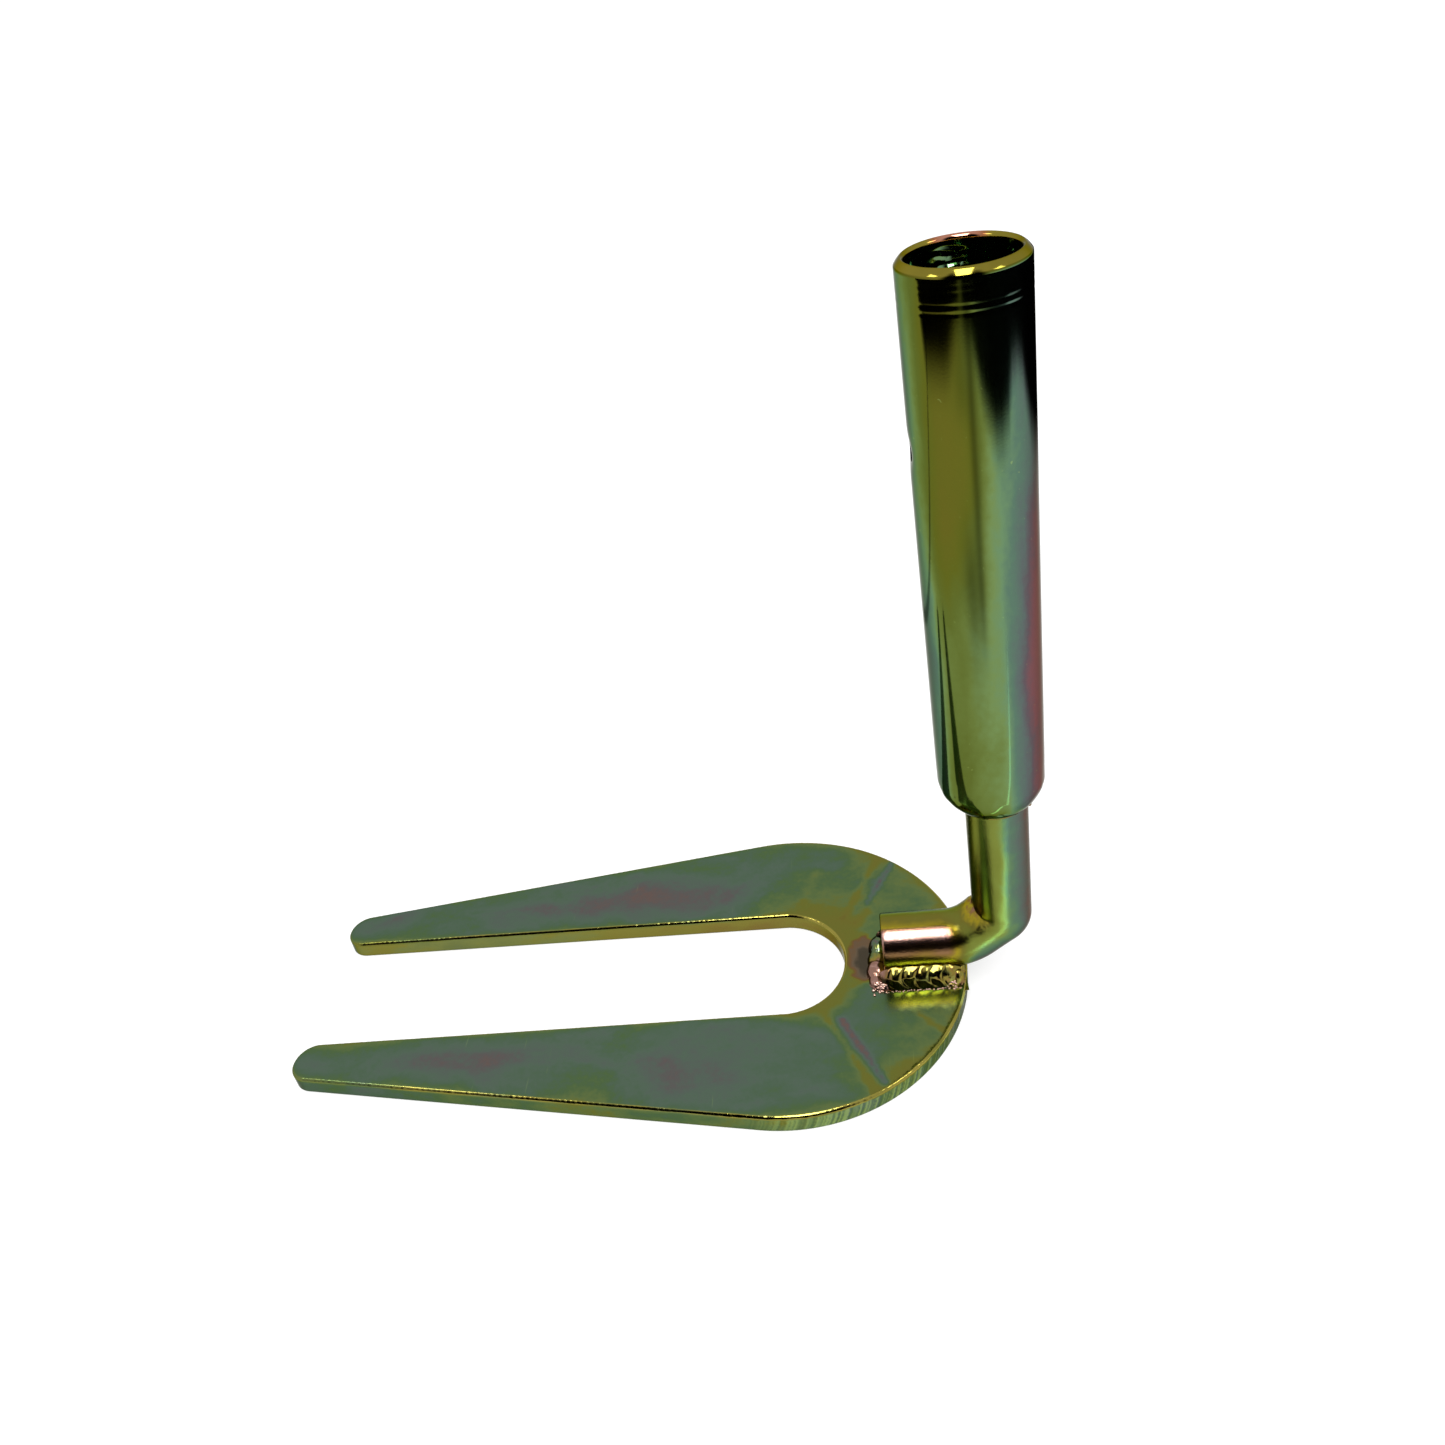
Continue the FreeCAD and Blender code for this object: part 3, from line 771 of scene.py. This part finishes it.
# Film round the riser, by degrees round its axis from the heel side.
RISER_FILM = [
    (-180, 0.34), (-158, 0.32), (-144, 0.34), (-126, 0.35), (-110, 0.38), (-98, 0.41),
    (-91, 0.46), (-86, 0.53), (-80, 0.58), (-70, 0.61), (-60, 0.69), (-50, 0.76),
    (-37, 0.84), (-20, 0.90), (0, 0.88), (30, 0.70), (60, 0.50), (90, 0.42),
    (120, 0.50), (150, 0.45), (180, 0.34),
]
# Film round the flat run, by degrees up from its near side.
RUN_FILM = [
    (-90, 0.30), (-20, 0.20), (-6, 0.19), (4, 0.17), (14, 0.12), (32, 0.09), (44, 0.04),
    (60, 0.02), (67, 0.07), (74, 0.20), (84, 0.25), (104, 0.29), (116, 0.46), (124, 0.64),
    (150, 0.60), (180, 0.50), (270, 0.30),
]


def off_line(point, start, end):
    """The part of a point's offset from a line between two points that is square to it."""
    along = (point - start).dot(end - start) / (end - start).length_squared
    return point - start.lerp(end, min(1.0, max(0.0, along)))


def bar_film(point):
    """Film on the bar: copper-pink on the run beside the weld, olive to mauve round the riser."""
    legs = (
        (off_line(point, Vector((BAR_FRONT, BAR_Y, BAR_Z)), CORNER), Vector((0, 0, -1))),
        (off_line(point, CORNER, ELBOW), Vector((SLOPE.z, 0, -SLOPE.x))),
        (off_line(point, ELBOW, RISER_FOOT + SOCKET_AXIS * 90), SOCKET_SIDE),
    )
    weights = [1 / (offset.length + 0.1) ** 8 for offset, out in legs]
    offset = sum((w * leg[0] for w, leg in zip(weights, legs)), Vector()) / sum(weights)
    out = sum((w * leg[1] for w, leg in zip(weights, legs)), Vector()).normalized()
    around = degrees(atan2(offset.y, offset.dot(out)))
    riser = between(RISER_FILM, around)
    riser += 0.03 * (1 - smooth(24, 34, point.z))
    lift = degrees(atan2(point.z - BAR_Z, -(point.y - BAR_Y)))
    if lift < -90:
        lift += 360
    run = between(RUN_FILM, lift)
    share = smooth(90, 99, point.x + 0.25 * (point.z - BAR_Z))
    wander = 0.03 * ripple(*(point / 8), 5.0)
    film = run * (1 - share) + riser * share + wander
    fold = bell(crease_gap(point), 5.0)
    return film * (1 - fold) + (0.13 + 0.12 * ripple(*point, 2.0)) * fold


RINGS, HINGE = neck_rings()


def crease_gap(point):
    """Distance from the line along the inner crease of the kink."""
    return hypot(point.x - HINGE.x, point.z - HINGE.z)


def bent_neck():
    """The bar, with the metal gathered in small lumps and folds at the inner crease of its kink."""
    for ring in RINGS:
        for i, p in enumerate(ring):
            fold = bell(crease_gap(p), 4.6)
            if fold < 0.02:
                continue
            turn = atan2(p.x - HINGE.x, HINGE.z - p.z)
            wave = 0.5 * sin(turn * 7 + 0.5 * p.y)
            wave += 1.4 * ripple(p.x / 1.7, p.y / 1.9, p.z / 1.7, 6.0)
            wave += 0.5 * ripple(*(p / 0.8), 9.0)
            out = Vector((p.x - HINGE.x, 0, p.z - HINGE.z)).normalized()
            side = 1 if p.y < BAR_Y else -1
            ring[i] = p + out * (0.25 * wave * fold) + Vector((0, -side * 0.5 * wave * fold, 0))
    make_piece("bent_neck", tube(RINGS), bar_film, bar_finish, "neck_bar")


bent_neck()


# ---- handle socket

# The mouth is sawn a little out of square, lower at the near side, and its lip is worn.
MOUTH_TILT = 0.7
LIP = 1.6
# The lip's outer part as (inset from the outside, rise), and its inner part as (step out from
# the bore, rise): a worn chamfer, a narrow flat and a small round.
LIP_OUTSIDE = [
    (0.06, 0.0), (0.28, 0.32), (0.55, 0.68), (0.85, 1.02), (1.15, 1.30), (1.42, 1.50), (1.65, LIP),
]
LIP_INSIDE = [(0.80, LIP), (0.62, 1.50), (0.36, 1.30), (0.12, 1.08), (0.0, 0.75)]
LIP_FOOT = RIM_LEVEL - LIP
# Turning marks below the mouth: distance down from it and depth.
TURNING_MARKS = ((7.7, 0.05), (9.6, 0.06), (3.6, 0.02), (4.9, 0.02))
# Ripples that the reamer left in the bore: how far down they go, their pitch and depth.
REAMED, REAM_PITCH, REAM_DEPTH = 44.0, 2.3, 0.30

# Film round the socket's lower half and its upper half, by degrees round its axis.
SOCKET_LOW_FILM = [
    (-180, 0.64), (-161, 0.62), (-150, 0.57), (-140, 0.42), (-128, 0.37), (-118, 0.36),
    (-106, 0.42), (-95, 0.45), (-84, 0.49), (-78, 0.53), (-73, 0.61), (-61, 0.72),
    (-49, 0.81), (-35, 0.91), (-20, 0.97), (0, 0.88), (20, 0.70), (45, 0.50),
    (70, 0.40), (95, 0.48), (120, 0.62), (140, 0.72), (160, 0.67), (180, 0.64),
]
SOCKET_HIGH_FILM = [
    (-180, 0.66), (-161, 0.54), (-150, 0.44), (-138, 0.29), (-128, 0.23), (-118, 0.23),
    (-106, 0.27), (-95, 0.34), (-84, 0.48), (-73, 0.56), (-61, 0.61), (-49, 0.65),
    (-35, 0.74), (-20, 0.82), (0, 0.70), (20, 0.52), (45, 0.38), (70, 0.28),
    (95, 0.33), (120, 0.47), (140, 0.56), (160, 0.54), (180, 0.52),
]


def socket_film(point):
    """Film on the socket: greener below, more golden above, gold on the rim and dull in the bore."""
    level, radius, turn = socket_place(point)
    low = between(SOCKET_LOW_FILM, turn)
    high = between(SOCKET_HIGH_FILM, turn)
    a = radians(turn)
    wander = 12 * ripple(cos(a) * 2, sin(a) * 2, level / 30)
    share = smooth(128, 178, level + wander)
    film = low * (1 - share) + high * share
    film += 0.03 * ripple(point.x / 6, point.y / 6, point.z / 16, 3.0)
    if level < DOME_LEVEL:
        film -= 0.06 * smooth(DOME_LEVEL, DOME_LEVEL - 8, level)
    saw = MOUTH_TILT * (1 - sin(a)) / 2
    rim = smooth(LIP_FOOT - 0.15, LIP_FOOT + 0.1, level + saw)
    copper = 0.01 + 0.13 * smooth(14, 40, abs(turn - 86))
    film = film * (1 - rim) + copper * rim
    if radius < SOCKET_RADIUS - 1.2:
        film = 0.55 * (1 - rim) + film * rim
    return film


def dome(radius, height, start, end, steps):
    """The profile of the socket's closed end, between two angles from its axis."""
    angles = [radians(start + (end - start) * i / steps) for i in range(steps + 1)]
    return [(radius * sin(a), DOME_LEVEL - height * cos(a)) for a in angles]


def socket_shell():
    """The socket: a turned tube with a ground domed end, tool ripples in its bore and a screw hole."""
    wall = SOCKET_RADIUS - BORE_RADIUS
    outer = dome(SOCKET_RADIUS, DOME_HEIGHT, 28, 90, 32)
    levels = [DOME_LEVEL + 3.2 * i for i in range(1, 28)]
    levels += [HOLE_LEVEL - 7 + 0.7 * i for i in range(21)]
    levels += [HOLE_LEVEL + 9 + 3 * i for i in range(7)]
    levels += [RIM_LEVEL - 15 + 0.35 * i for i in range(39)]
    outer += [(SOCKET_RADIUS, level) for level in sorted(levels) if level < LIP_FOOT - 0.1]
    rim = [(SOCKET_RADIUS - inset, LIP_FOOT + rise) for inset, rise in LIP_OUTSIDE]
    rim += [(BORE_RADIUS + step, LIP_FOOT + rise) for step, rise in LIP_INSIDE]
    inner = []
    level = RIM_LEVEL - 1.4
    while level > DOME_LEVEL:
        inner.append((BORE_RADIUS, level))
        level -= 0.4 if level > RIM_LEVEL - REAMED - 2 else 4
    inner += dome(BORE_RADIUS, DOME_HEIGHT - wall, 90, 34, 8)
    rings = []
    for place, (radius, level) in enumerate(outer + rim + inner):
        ring = []
        inside = place >= len(outer) + len(rim)
        for turn in turns(192):
            c, s = cos(turn), sin(turn)
            shift = 0.0
            if inside and level > RIM_LEVEL - REAMED:
                depth = REAM_DEPTH * smooth(RIM_LEVEL - 1.5, RIM_LEVEL - 5, level)
                swing = level * 2 * pi / REAM_PITCH + 3.0 * ripple(c * 2.4, s * 2.4, level / 3)
                # They are deepest on the far wall.
                patch = 0.4 + 1.2 * abs(ripple(c * 3, s * 3, level / 3))
                patch *= 0.12 + 1.1 * smooth(26, 10, abs(degrees(turn) - 100))
                shift = -depth * (sin(swing) + 1) * patch
            elif not inside and place < len(outer):
                for groove, depth in TURNING_MARKS:
                    off = level - (RIM_LEVEL - groove) - 0.3 * ripple(c, s, groove)
                    shift -= depth * bell(off, 0.35) * (0.5 + 0.5 * smooth(-0.3, 0.3, c))
                if level < DOME_LEVEL + 6:
                    ground = smooth(DOME_LEVEL + 6, DOME_LEVEL - 2, level)
                    shift -= ground * (0.12 + 0.22 * ripple(c * 5, s * 5, level / 3.5, 2.0))
                    nicks = ripple(c * 9 + level / 2, s * 9, level / 1.3, 5.0)
                    shift -= ground * 0.22 * smooth(0.3, 0.7, nicks)
                shift -= 0.02 * (1 + ripple(c * 2.2, s * 2.2, level / 30, 1.0))
                dent = hypot(level - HOLE_LEVEL, SOCKET_RADIUS * sin(turn))
                if c < 0:
                    shift -= 0.55 * bell(dent, 3.5)
            saw = MOUTH_TILT * (1 - s) / 2 * smooth(RIM_LEVEL - 18, RIM_LEVEL - 2, level)
            out = socket_out(turn) * (radius + shift)
            ring.append(SOCKET_FOOT + SOCKET_AXIS * (level - saw) + out)
        rings.append(ring)
    bm = tube(rings, closed=True)
    bmesh.ops.recalc_face_normals(bm, faces=bm.faces)
    middle = SOCKET_FOOT + SOCKET_AXIS * HOLE_LEVEL
    edge = [SOCKET_AXIS * cos(t) + ACROSS * sin(t) for t in turns(40)]
    drill = tube([[middle - SOCKET_SIDE * reach + e * HOLE_RADIUS for e in edge] for reach in (8, 22)])
    bmesh.ops.recalc_face_normals(drill, faces=drill.faces)
    bm = cut_away(bm, drill)
    make_piece("socket_shell", bm, socket_film, tube_finish, "socket_tube")


socket_shell()


NIB_BEARING = -32


def base_film(point):
    """Film on the ground bead: gold, with olive patches."""
    return 0.22 + 0.1 * ripple(*(point / 3))


def socket_base_bead():
    """The ground-down weld between the socket's end and the bar, with one nib left standing."""
    rings = []
    for turn in turns(144):
        out = socket_out(turn)
        centre = RISER_FOOT + out * (BAR_RADIUS + 0.15)
        radius = hypot((centre - SOCKET_FOOT).dot(SOCKET_SIDE), centre.y - SOCKET_FOOT.y)
        level = DOME_LEVEL - DOME_HEIGHT * sqrt(max(0.0, 1 - (radius / SOCKET_RADIUS) ** 2))
        middle = centre + SOCKET_AXIS * (level + 0.35)
        swell = 0.55 + 0.12 * ripple(cos(turn) * 4, sin(turn) * 4, 1.0)
        nib = 1.1 * bell(bearing_gap(degrees(turn), NIB_BEARING), 4.5)
        ring = []
        for t in turns(16):
            size = swell + nib * max(0.0, cos(t))
            ring.append(middle + out * (size * cos(t)) + SOCKET_AXIS * (size * sin(t)))
        rings.append(ring)
    bm = tube(rings, closed=True)
    make_piece("socket_base_bead", bm, base_film, weld_finish, "socket_base_weld")


socket_base_bead()


# ---- weld beads


# The side beads' ripples: how far apart they are and how high.
BEAD_PITCH, BEAD_RIPPLE = 4.1, 0.36


def side_bead(name, stands_for, near, seed):
    """A fillet bead beside the bar: overlapping half-moon ripples, a droplet-swollen start and end."""
    first, last = BAR_FRONT - 1.6, BAR_FRONT + 24.3
    along, across = 150, 30
    toe = Vector((BAR_Y - 12.6, PLATE_TOP - 0.05))
    top = Vector((BAR_Y - 8.55, BAR_Z - 2.6))
    heart = Vector((BAR_Y - 7.6, PLATE_TOP - 0.2))
    slope = Vector((toe.y - top.y, top.x - toe.x)).normalized()
    rings = []
    for k in range(along + 1):
        u = k / along
        x = first + (last - first) * u
        end = min(1.0, 6.5 * u, 5.0 * (1 - u)) ** 0.5
        ring = []
        for i in range(across + 1):
            v = i / across
            base = toe.lerp(top, v)
            # The crown leans towards the bar, so its upper edge faces up and catches the light.
            crown = sin(pi * v**1.6)
            lag = 2.4 * (1 - (2 * v - 1) ** 2) + 0.8 * v
            phase = (x + lag + 1.4 * ripple(x / 4.4, v * 1.4, 0, seed)) / BEAD_PITCH
            step = phase - floor(phase)
            size = BEAD_RIPPLE * (1 + 0.8 * ripple(x / 3.5, 2, 2, seed))
            dime = size * smooth(0.0, 0.7, step) * (1 - smooth(0.68, 1.0, step))
            lump = 0.42 * ripple(x / 2.6, v * 2.0, 2, seed) + 0.02 * ripple(x / 0.8, v * 7, 7, seed)
            height = crown * (0.85 + 0.3 * ripple(x / 6, 1, 0, seed)) + (dime + lump) * crown**0.5
            place = base + slope * (max(0.0, height) * end) if v not in (0, 1) else base
            place = heart.lerp(place, 0.55 + 0.45 * end)
            ring.append(Vector((x, place.x, place.y)))
        ring.append(Vector((x, heart.x, heart.y)))
        if not near:
            ring = [Vector((p.x, 2 * BAR_Y - p.y, p.z)) for p in reversed(ring)]
        rings.append(ring)

    def film(p):
        crest = smooth(PLATE_TOP, BAR_Z, p.z)
        pink = smooth(BAR_FRONT + 3, BAR_FRONT - 1, p.x)
        return (0.42 - 0.10 * crest) * (1 - pink) + 0.10 * pink

    make_piece(name, tube(rings), film, weld_finish, stands_for, crease=70)


side_bead("near_side_bead", "near_side_weld", True, 3.0)
side_bead("far_side_bead", "far_side_weld", False, 11.0)


def lumps(x, y, table, seed):
    """The height of overlapping round lumps: rows of x, y, half width in x and y, and height."""
    best = -1.0
    for cx, cy, wide, deep, tall in table:
        away = ((x - cx) / wide) ** 2 + ((y - cy) / deep) ** 2
        if away < 1:
            best = max(best, tall * sqrt(1 - away))
    if best > 0:
        best += 0.3 * ripple(x / 1.9, y / 1.9, 0, seed) + 0.05 * ripple(x / 0.6, y / 0.6, 4, seed)
    return best


# How far the border of a patch of weld sinks into the plate.
SUNK = -0.4


def weld_patch(name, stands_for, low, high, table, seed, film, pitch=0.3):
    """A lumpy patch of weld on the plate, as one closed skin whose border sinks into the plate."""
    columns = round((high.x - low.x) / pitch)
    rows = round((high.y - low.y) / pitch)
    bm = bmesh.new()
    tops, feet = [], []
    for i in range(columns + 1):
        x = low.x + (high.x - low.x) * i / columns
        for j in range(rows + 1):
            y = low.y + (high.y - low.y) * j / rows
            border = i in (0, columns) or j in (0, rows)
            lift = SUNK if border else max(SUNK, lumps(x, y, table, seed))
            tops.append(bm.verts.new((x, y, PLATE_TOP + lift)))
            feet.append(bm.verts.new((x, y, PLATE_TOP + SUNK - 0.2)))
    for quad in grid_faces(columns + 1, rows + 1):
        for sheet in (tops, feet):
            bm.faces.new([sheet[k] for k in quad])
    last = (rows + 1) * columns
    rim = list(range(rows)) + list(range(rows, last + rows, rows + 1))
    rim += list(range(last + rows, last, -1)) + list(range(last, 0, -rows - 1))
    bridge(bm, [[sheet[k] for k in rim] for sheet in (tops, feet)])
    make_piece(name, bm, film, weld_finish, stands_for, crease=70)


# Lumps in front of the bar's cut end and behind it at the heel.
FRONT_LUMPS = [
    (BAR_FRONT - 0.8, 2.4, 3.6, 4.8, 4.4),
    (BAR_FRONT - 1.4, -2.4, 3.6, 4.6, 3.0),
    (BAR_FRONT - 2.0, -7.0, 3.6, 4.4, 3.4),
    (BAR_FRONT - 2.4, -10.8, 2.6, 3.0, 2.2),
    (BAR_FRONT - 0.4, -12.6, 2.4, 2.2, 2.0),
]
HEEL_LUMPS = [
    (BAR_FRONT + 22.6, -11.4, 2.3, 2.9, 4.4),
    (BAR_FRONT + 23.9, -6.6, 1.8, 3.6, 2.8),
    (BAR_FRONT + 23.9, -0.7, 1.7, 4.4, 2.4),
    (BAR_FRONT + 20.6, -13.7, 2.0, 1.6, 1.7),
]


def front_film(point):
    """Pink-brown near the heat of the start, grey-green away from it."""
    return 0.09 + 0.66 * smooth(-5.5, 0.5, point.y + 1.2 * ripple(point.x, point.y / 3, 0))


def heel_film(point):
    """Film on the heel lumps: olive, with gold patches."""
    return 0.30 + 0.2 * ripple(*(point / 2))


FRONT = Vector((BAR_FRONT, 0))
ends = FRONT + Vector((-6.0, -15.4)), FRONT + Vector((3.6, 8.0))
weld_patch("front_end_blob", "front_end_weld", *ends, FRONT_LUMPS, 2.0, front_film)
ends = FRONT + Vector((18.8, -15.8)), FRONT + Vector((25.6, 5.4))
weld_patch("heel_edge_blob", "heel_edge_weld", *ends, HEEL_LUMPS, 8.0, heel_film)


def spatter():
    """Droplets thrown beside the near bead, thickest at its two ends."""
    draw = random.Random(7)
    bm = bmesh.new()
    places = []
    for i in range(34):
        places.append((BAR_FRONT + 0.4 + i * 0.7 + draw.uniform(-0.3, 0.3), -15.2, 0.27))
    for i in range(26):
        places.append((BAR_FRONT - 1.4 + draw.gauss(0, 1.2), -13.9 + draw.gauss(0, 0.8), 0.42))
    for i in range(20):
        places.append((BAR_FRONT + 20.0 + draw.gauss(0, 1.2), -14.3 + draw.gauss(0, 0.7), 0.42))
    for x, y, size in places:
        size *= draw.uniform(0.7, 1.25)
        y += draw.uniform(-0.25, 0.25)
        stretch = Matrix.Diagonal((draw.uniform(0.9, 1.4), draw.uniform(0.8, 1.1), 0.9, 1))
        rest = max(0.0, lumps(x, y, FRONT_LUMPS + HEEL_LUMPS, 2.0)) * 0.9
        stretch.translation = Vector((x, y, PLATE_TOP + rest + size * 0.3))
        made = bmesh.ops.create_icosphere(bm, subdivisions=2, radius=size, matrix=stretch)
        for v in made["verts"]:
            v.co += (v.co - stretch.translation) * 0.3 * ripple(*(v.co * 2), 3.0)
    make_piece("weld_spatter", bm, lambda p: 0.01, weld_finish)


spatter()


# ---- floor, light and camera


def lit_paper():
    """White paper on a light table: matt, and half its light comes through from below, so the
    shadows on it are faint."""
    material, tree = new_material("white_paper")
    look = {"Base Color": linear("#b4b4b4"), "Roughness": 0.9}
    look.update({"Emission Color": linear("#ffffff"), "Emission Strength": 0.62})
    shader = add_node(tree, "ShaderNodeBsdfPrincipled", look).outputs[0]
    add_node(tree, "ShaderNodeOutputMaterial", {"Surface": shader})
    return material


def stage_mesh(name, points, faces, material):
    """A floor or card that isn't part of the object; points in metres."""
    mesh = bpy.data.meshes.new(name)
    mesh.from_pydata(points, [], faces)
    mesh.materials.append(material)
    card = add_object(name, mesh)
    return card


# Half the floor's width, in metres.
FLOOR_HALF = 200.0
floor_level = cad_low.z - 0.00005
sides = (-FLOOR_HALF, FLOOR_HALF)
corners = [(x, y, floor_level) for x in sides for y in sides]
stage_mesh("white_floor", corners, [(0, 2, 3, 1)], lit_paper())


def mirrored_material(name, colour, strength):
    """A card for reflections: it covers only as much as its mesh's cover says."""
    material, tree = new_material(name)
    clear = add_node(tree, "ShaderNodeBsdfTransparent").outputs[0]
    glow = {"Color": linear(colour), "Strength": strength}
    shown = add_node(tree, "ShaderNodeEmission", glow).outputs[0]
    cover = add_node(tree, "ShaderNodeAttribute", attribute_name="cover").outputs["Fac"]
    shader = add_node(tree, "ShaderNodeMixShader", {0: cover, 1: clear, 2: shown}).outputs[0]
    add_node(tree, "ShaderNodeOutputMaterial", {"Surface": shader})
    return material


# The pool of light on the table ends about half a metre out, so the polished sides mirror
# dark beyond it. These cards are only for reflections. Bearings are in degrees round the
# socket's foot, radii in millimetres.
foot = Vector((SOCKET_FOOT.x, 0))
POOL_EDGE = [
    (-180, 900), (-176, 640), (-171, 552), (-160, 550), (-150, 552), (-138, 556),
    (-130, 574), (-122, 620), (-114, 672), (-106, 684), (-98, 672), (-90, 664),
    (-83, 610), (-76, 552), (-70, 525), (-62, 500), (-54, 480), (-44, 486), (-38, 505),
    (-30, 532), (-20, 645), (-8, 668), (5, 642), (13, 575), (20, 535), (27, 495),
    (35, 478), (45, 450), (70, 430), (78, 1100),
]


def table_shade(bearing, radius):
    """How dark the table mirrors at a bearing and radius: its pool's edge and soft shadows."""
    edge = between(POOL_EDGE, bearing)
    pool = smooth(edge - 75, edge + 65, radius)
    far = smooth(560, 800, radius)
    streak = bell(bearing_gap(bearing, -112 + 8 * far), 7 - 3.5 * far)
    pool *= 1 - 0.26 * streak * smooth(1250, 750, radius)
    stripe = 0.52 * bell(bearing_gap(bearing, -94), 7) * smooth(180, 270, radius)
    cloud = 0.52 * bell(bearing_gap(bearing, -110), 14) * bell(radius - 262, 62)
    haze = 0.30 * bell(bearing_gap(bearing, -110), 16) * smooth(450, 550, radius)
    return 1 - (1 - pool) * (1 - stripe) * (1 - cloud) * (1 - haze)


def reflection_card(name, points, faces, cover, material):
    """A card that only reflections see."""
    card = stage_mesh(name, points, faces, material)
    store(card.data, "cover", cover)
    for ray in ("camera", "diffuse", "shadow", "transmission", "volume_scatter"):
        setattr(card, "visible_" + ray, False)


black_card = mirrored_material("black_card", "#000000", 0.0)
bearings = [-180 + 2 * i for i in range(131)]
radii = [90 + 22 * i for i in range(50)] + [2000, 5000]
points, cover = [], []
for bearing in bearings:
    for radius in radii:
        a = radians(bearing)
        at = (foot + Vector((cos(a), sin(a))) * radius) * MM
        points.append((at.x, at.y, floor_level + 0.001))
        cover.append(table_shade(bearing, radius))
faces = grid_faces(len(bearings), len(radii))
reflection_card("table_shade", points, faces, cover, black_card)


def floor_strip(name, start, end, width, lift, first, last, material):
    """A straight strip on the floor, soft at its sides, that only reflections see."""
    a, b = Vector(start) * MM, Vector(end) * MM
    side = Vector((a.y - b.y, b.x - a.x)).normalized() * width * MM / 2
    points, values = [], []
    for end_point, cover in ((a, first), (b, last)):
        for share, value in ((-1, 0), (-0.4, cover), (0.4, cover), (1, 0)):
            at = end_point + side * share
            points.append((at.x, at.y, floor_level + lift))
            values.append(value)
    reflection_card(name, points, grid_faces(2, 4), values, material)


# A dark strip that only reflections see, a painted dark reflection, and a glint that the polished heel
# throws.
floor_strip("paper_joint", (-560, -176), (10, 200), 22, 0.0012, 0.68, 0.68, black_card)
glint = mirrored_material("glint_card", "#d2f4ff", 4.2)
floor_strip("thrown_glint", (99, -31), (127, -66), 10, 0.0014, 1.0, 1.0, glint)
floor_strip("thrown_glint_far", (127, -66), (250, -185), 10, 0.0014, 0.6, 0.0, glint)


def dark_room():
    """The unlit room in front of the table, as part of a dome beyond the lamps."""
    points, cover = [], []
    rises = [-1, 4, 10, 16, 24, 36, 48, 58, 64, 70, 76]
    steps = 22
    for i in range(steps + 1):
        bearing = -140 + 88 * i / steps
        a = radians(bearing)
        ahead = smooth(-140, -126, bearing) * smooth(-52, -68, bearing)
        for rise in rises:
            e = radians(rise)
            out = Vector((cos(a) * cos(e), sin(a) * cos(e), sin(e)))
            at = Vector((foot.x * MM, 0, 0)) + out * 2.0
            points.append(at)
            cover.append(ahead * smooth(72, 57, rise))
    reflection_card("dark_room", points, grid_faces(steps + 1, len(rises)), cover, black_card)


dark_room()


def area_light(name, bearing, rise, distance, width, depth, radiance, mirrored):
    """A soft box aimed at the heel, placed by its bearing and rise in degrees. It either lights
    matt things or is mirrored in polished ones, so that each can have its own strength."""
    lamp = bpy.data.lights.new(name, "AREA")
    lamp.shape = "RECTANGLE"
    lamp.size = width
    lamp.size_y = depth
    lamp.energy = radiance * pi * width * depth
    holder = add_object(name, lamp)
    b, r = radians(bearing), radians(rise)
    towards = Vector((cos(r) * cos(b), cos(r) * sin(b), sin(r)))
    aim = Vector((0.09, 0.0, 0.03))
    holder.location = aim + towards * distance
    holder.rotation_mode = "QUATERNION"
    holder.rotation_quaternion = towards.to_track_quat("Z", "Y")
    holder.visible_camera = False
    holder.visible_diffuse = not mirrored
    holder.visible_glossy = mirrored


# Bearing, rise, distance, width and depth in metres, brightness, and whether it is mirrored.
area_light("overhead_box", -93, 68, 1.25, 0.54, 0.73, 5.0, False)
area_light("overhead_glare", -98, 68, 1.2, 0.34, 0.70, 13.0, True)
area_light("left_lamp", -160, 50, 1.2, 0.22, 0.22, 9.0, True)
area_light("right_lamp", -27, 48, 1.2, 0.26, 0.26, 9.0, True)

world = bpy.data.worlds.new("pale_room")
scene.world = world
world.use_nodes = True
tree = world.node_tree
tree.nodes.clear()
sky = add_node(tree, "ShaderNodeBackground", {"Color": linear("#ffffff"), "Strength": 1.03})
add_node(tree, "ShaderNodeOutputWorld", {"Surface": sky.outputs[0]})

camera_data = bpy.data.cameras.new("viewpoint")
camera_data.sensor_width = 36.0
camera_data.lens = 27.749
# The object stands a little right of the lens axis and above it.
camera_data.shift_x = -0.01945
camera_data.shift_y = -0.03856
camera_data.clip_start = 0.01
camera_data.clip_end = 1000
camera = add_object("viewpoint", camera_data)
turned = Vector((2.142, -0.045, -0.148))
# The turn takes the room to the lens, whose second axis points down and third ahead.
to_lens = Matrix.Rotation(turned.length, 3, turned.normalized())
lens_to_room = to_lens.transposed() @ Matrix.Diagonal((1, -1, -1))
camera.matrix_world = Matrix.Translation((0.0676, -0.2523, 0.283)) @ lens_to_room.to_4x4()
scene.camera = camera
scene.view_settings.view_transform = "Standard"
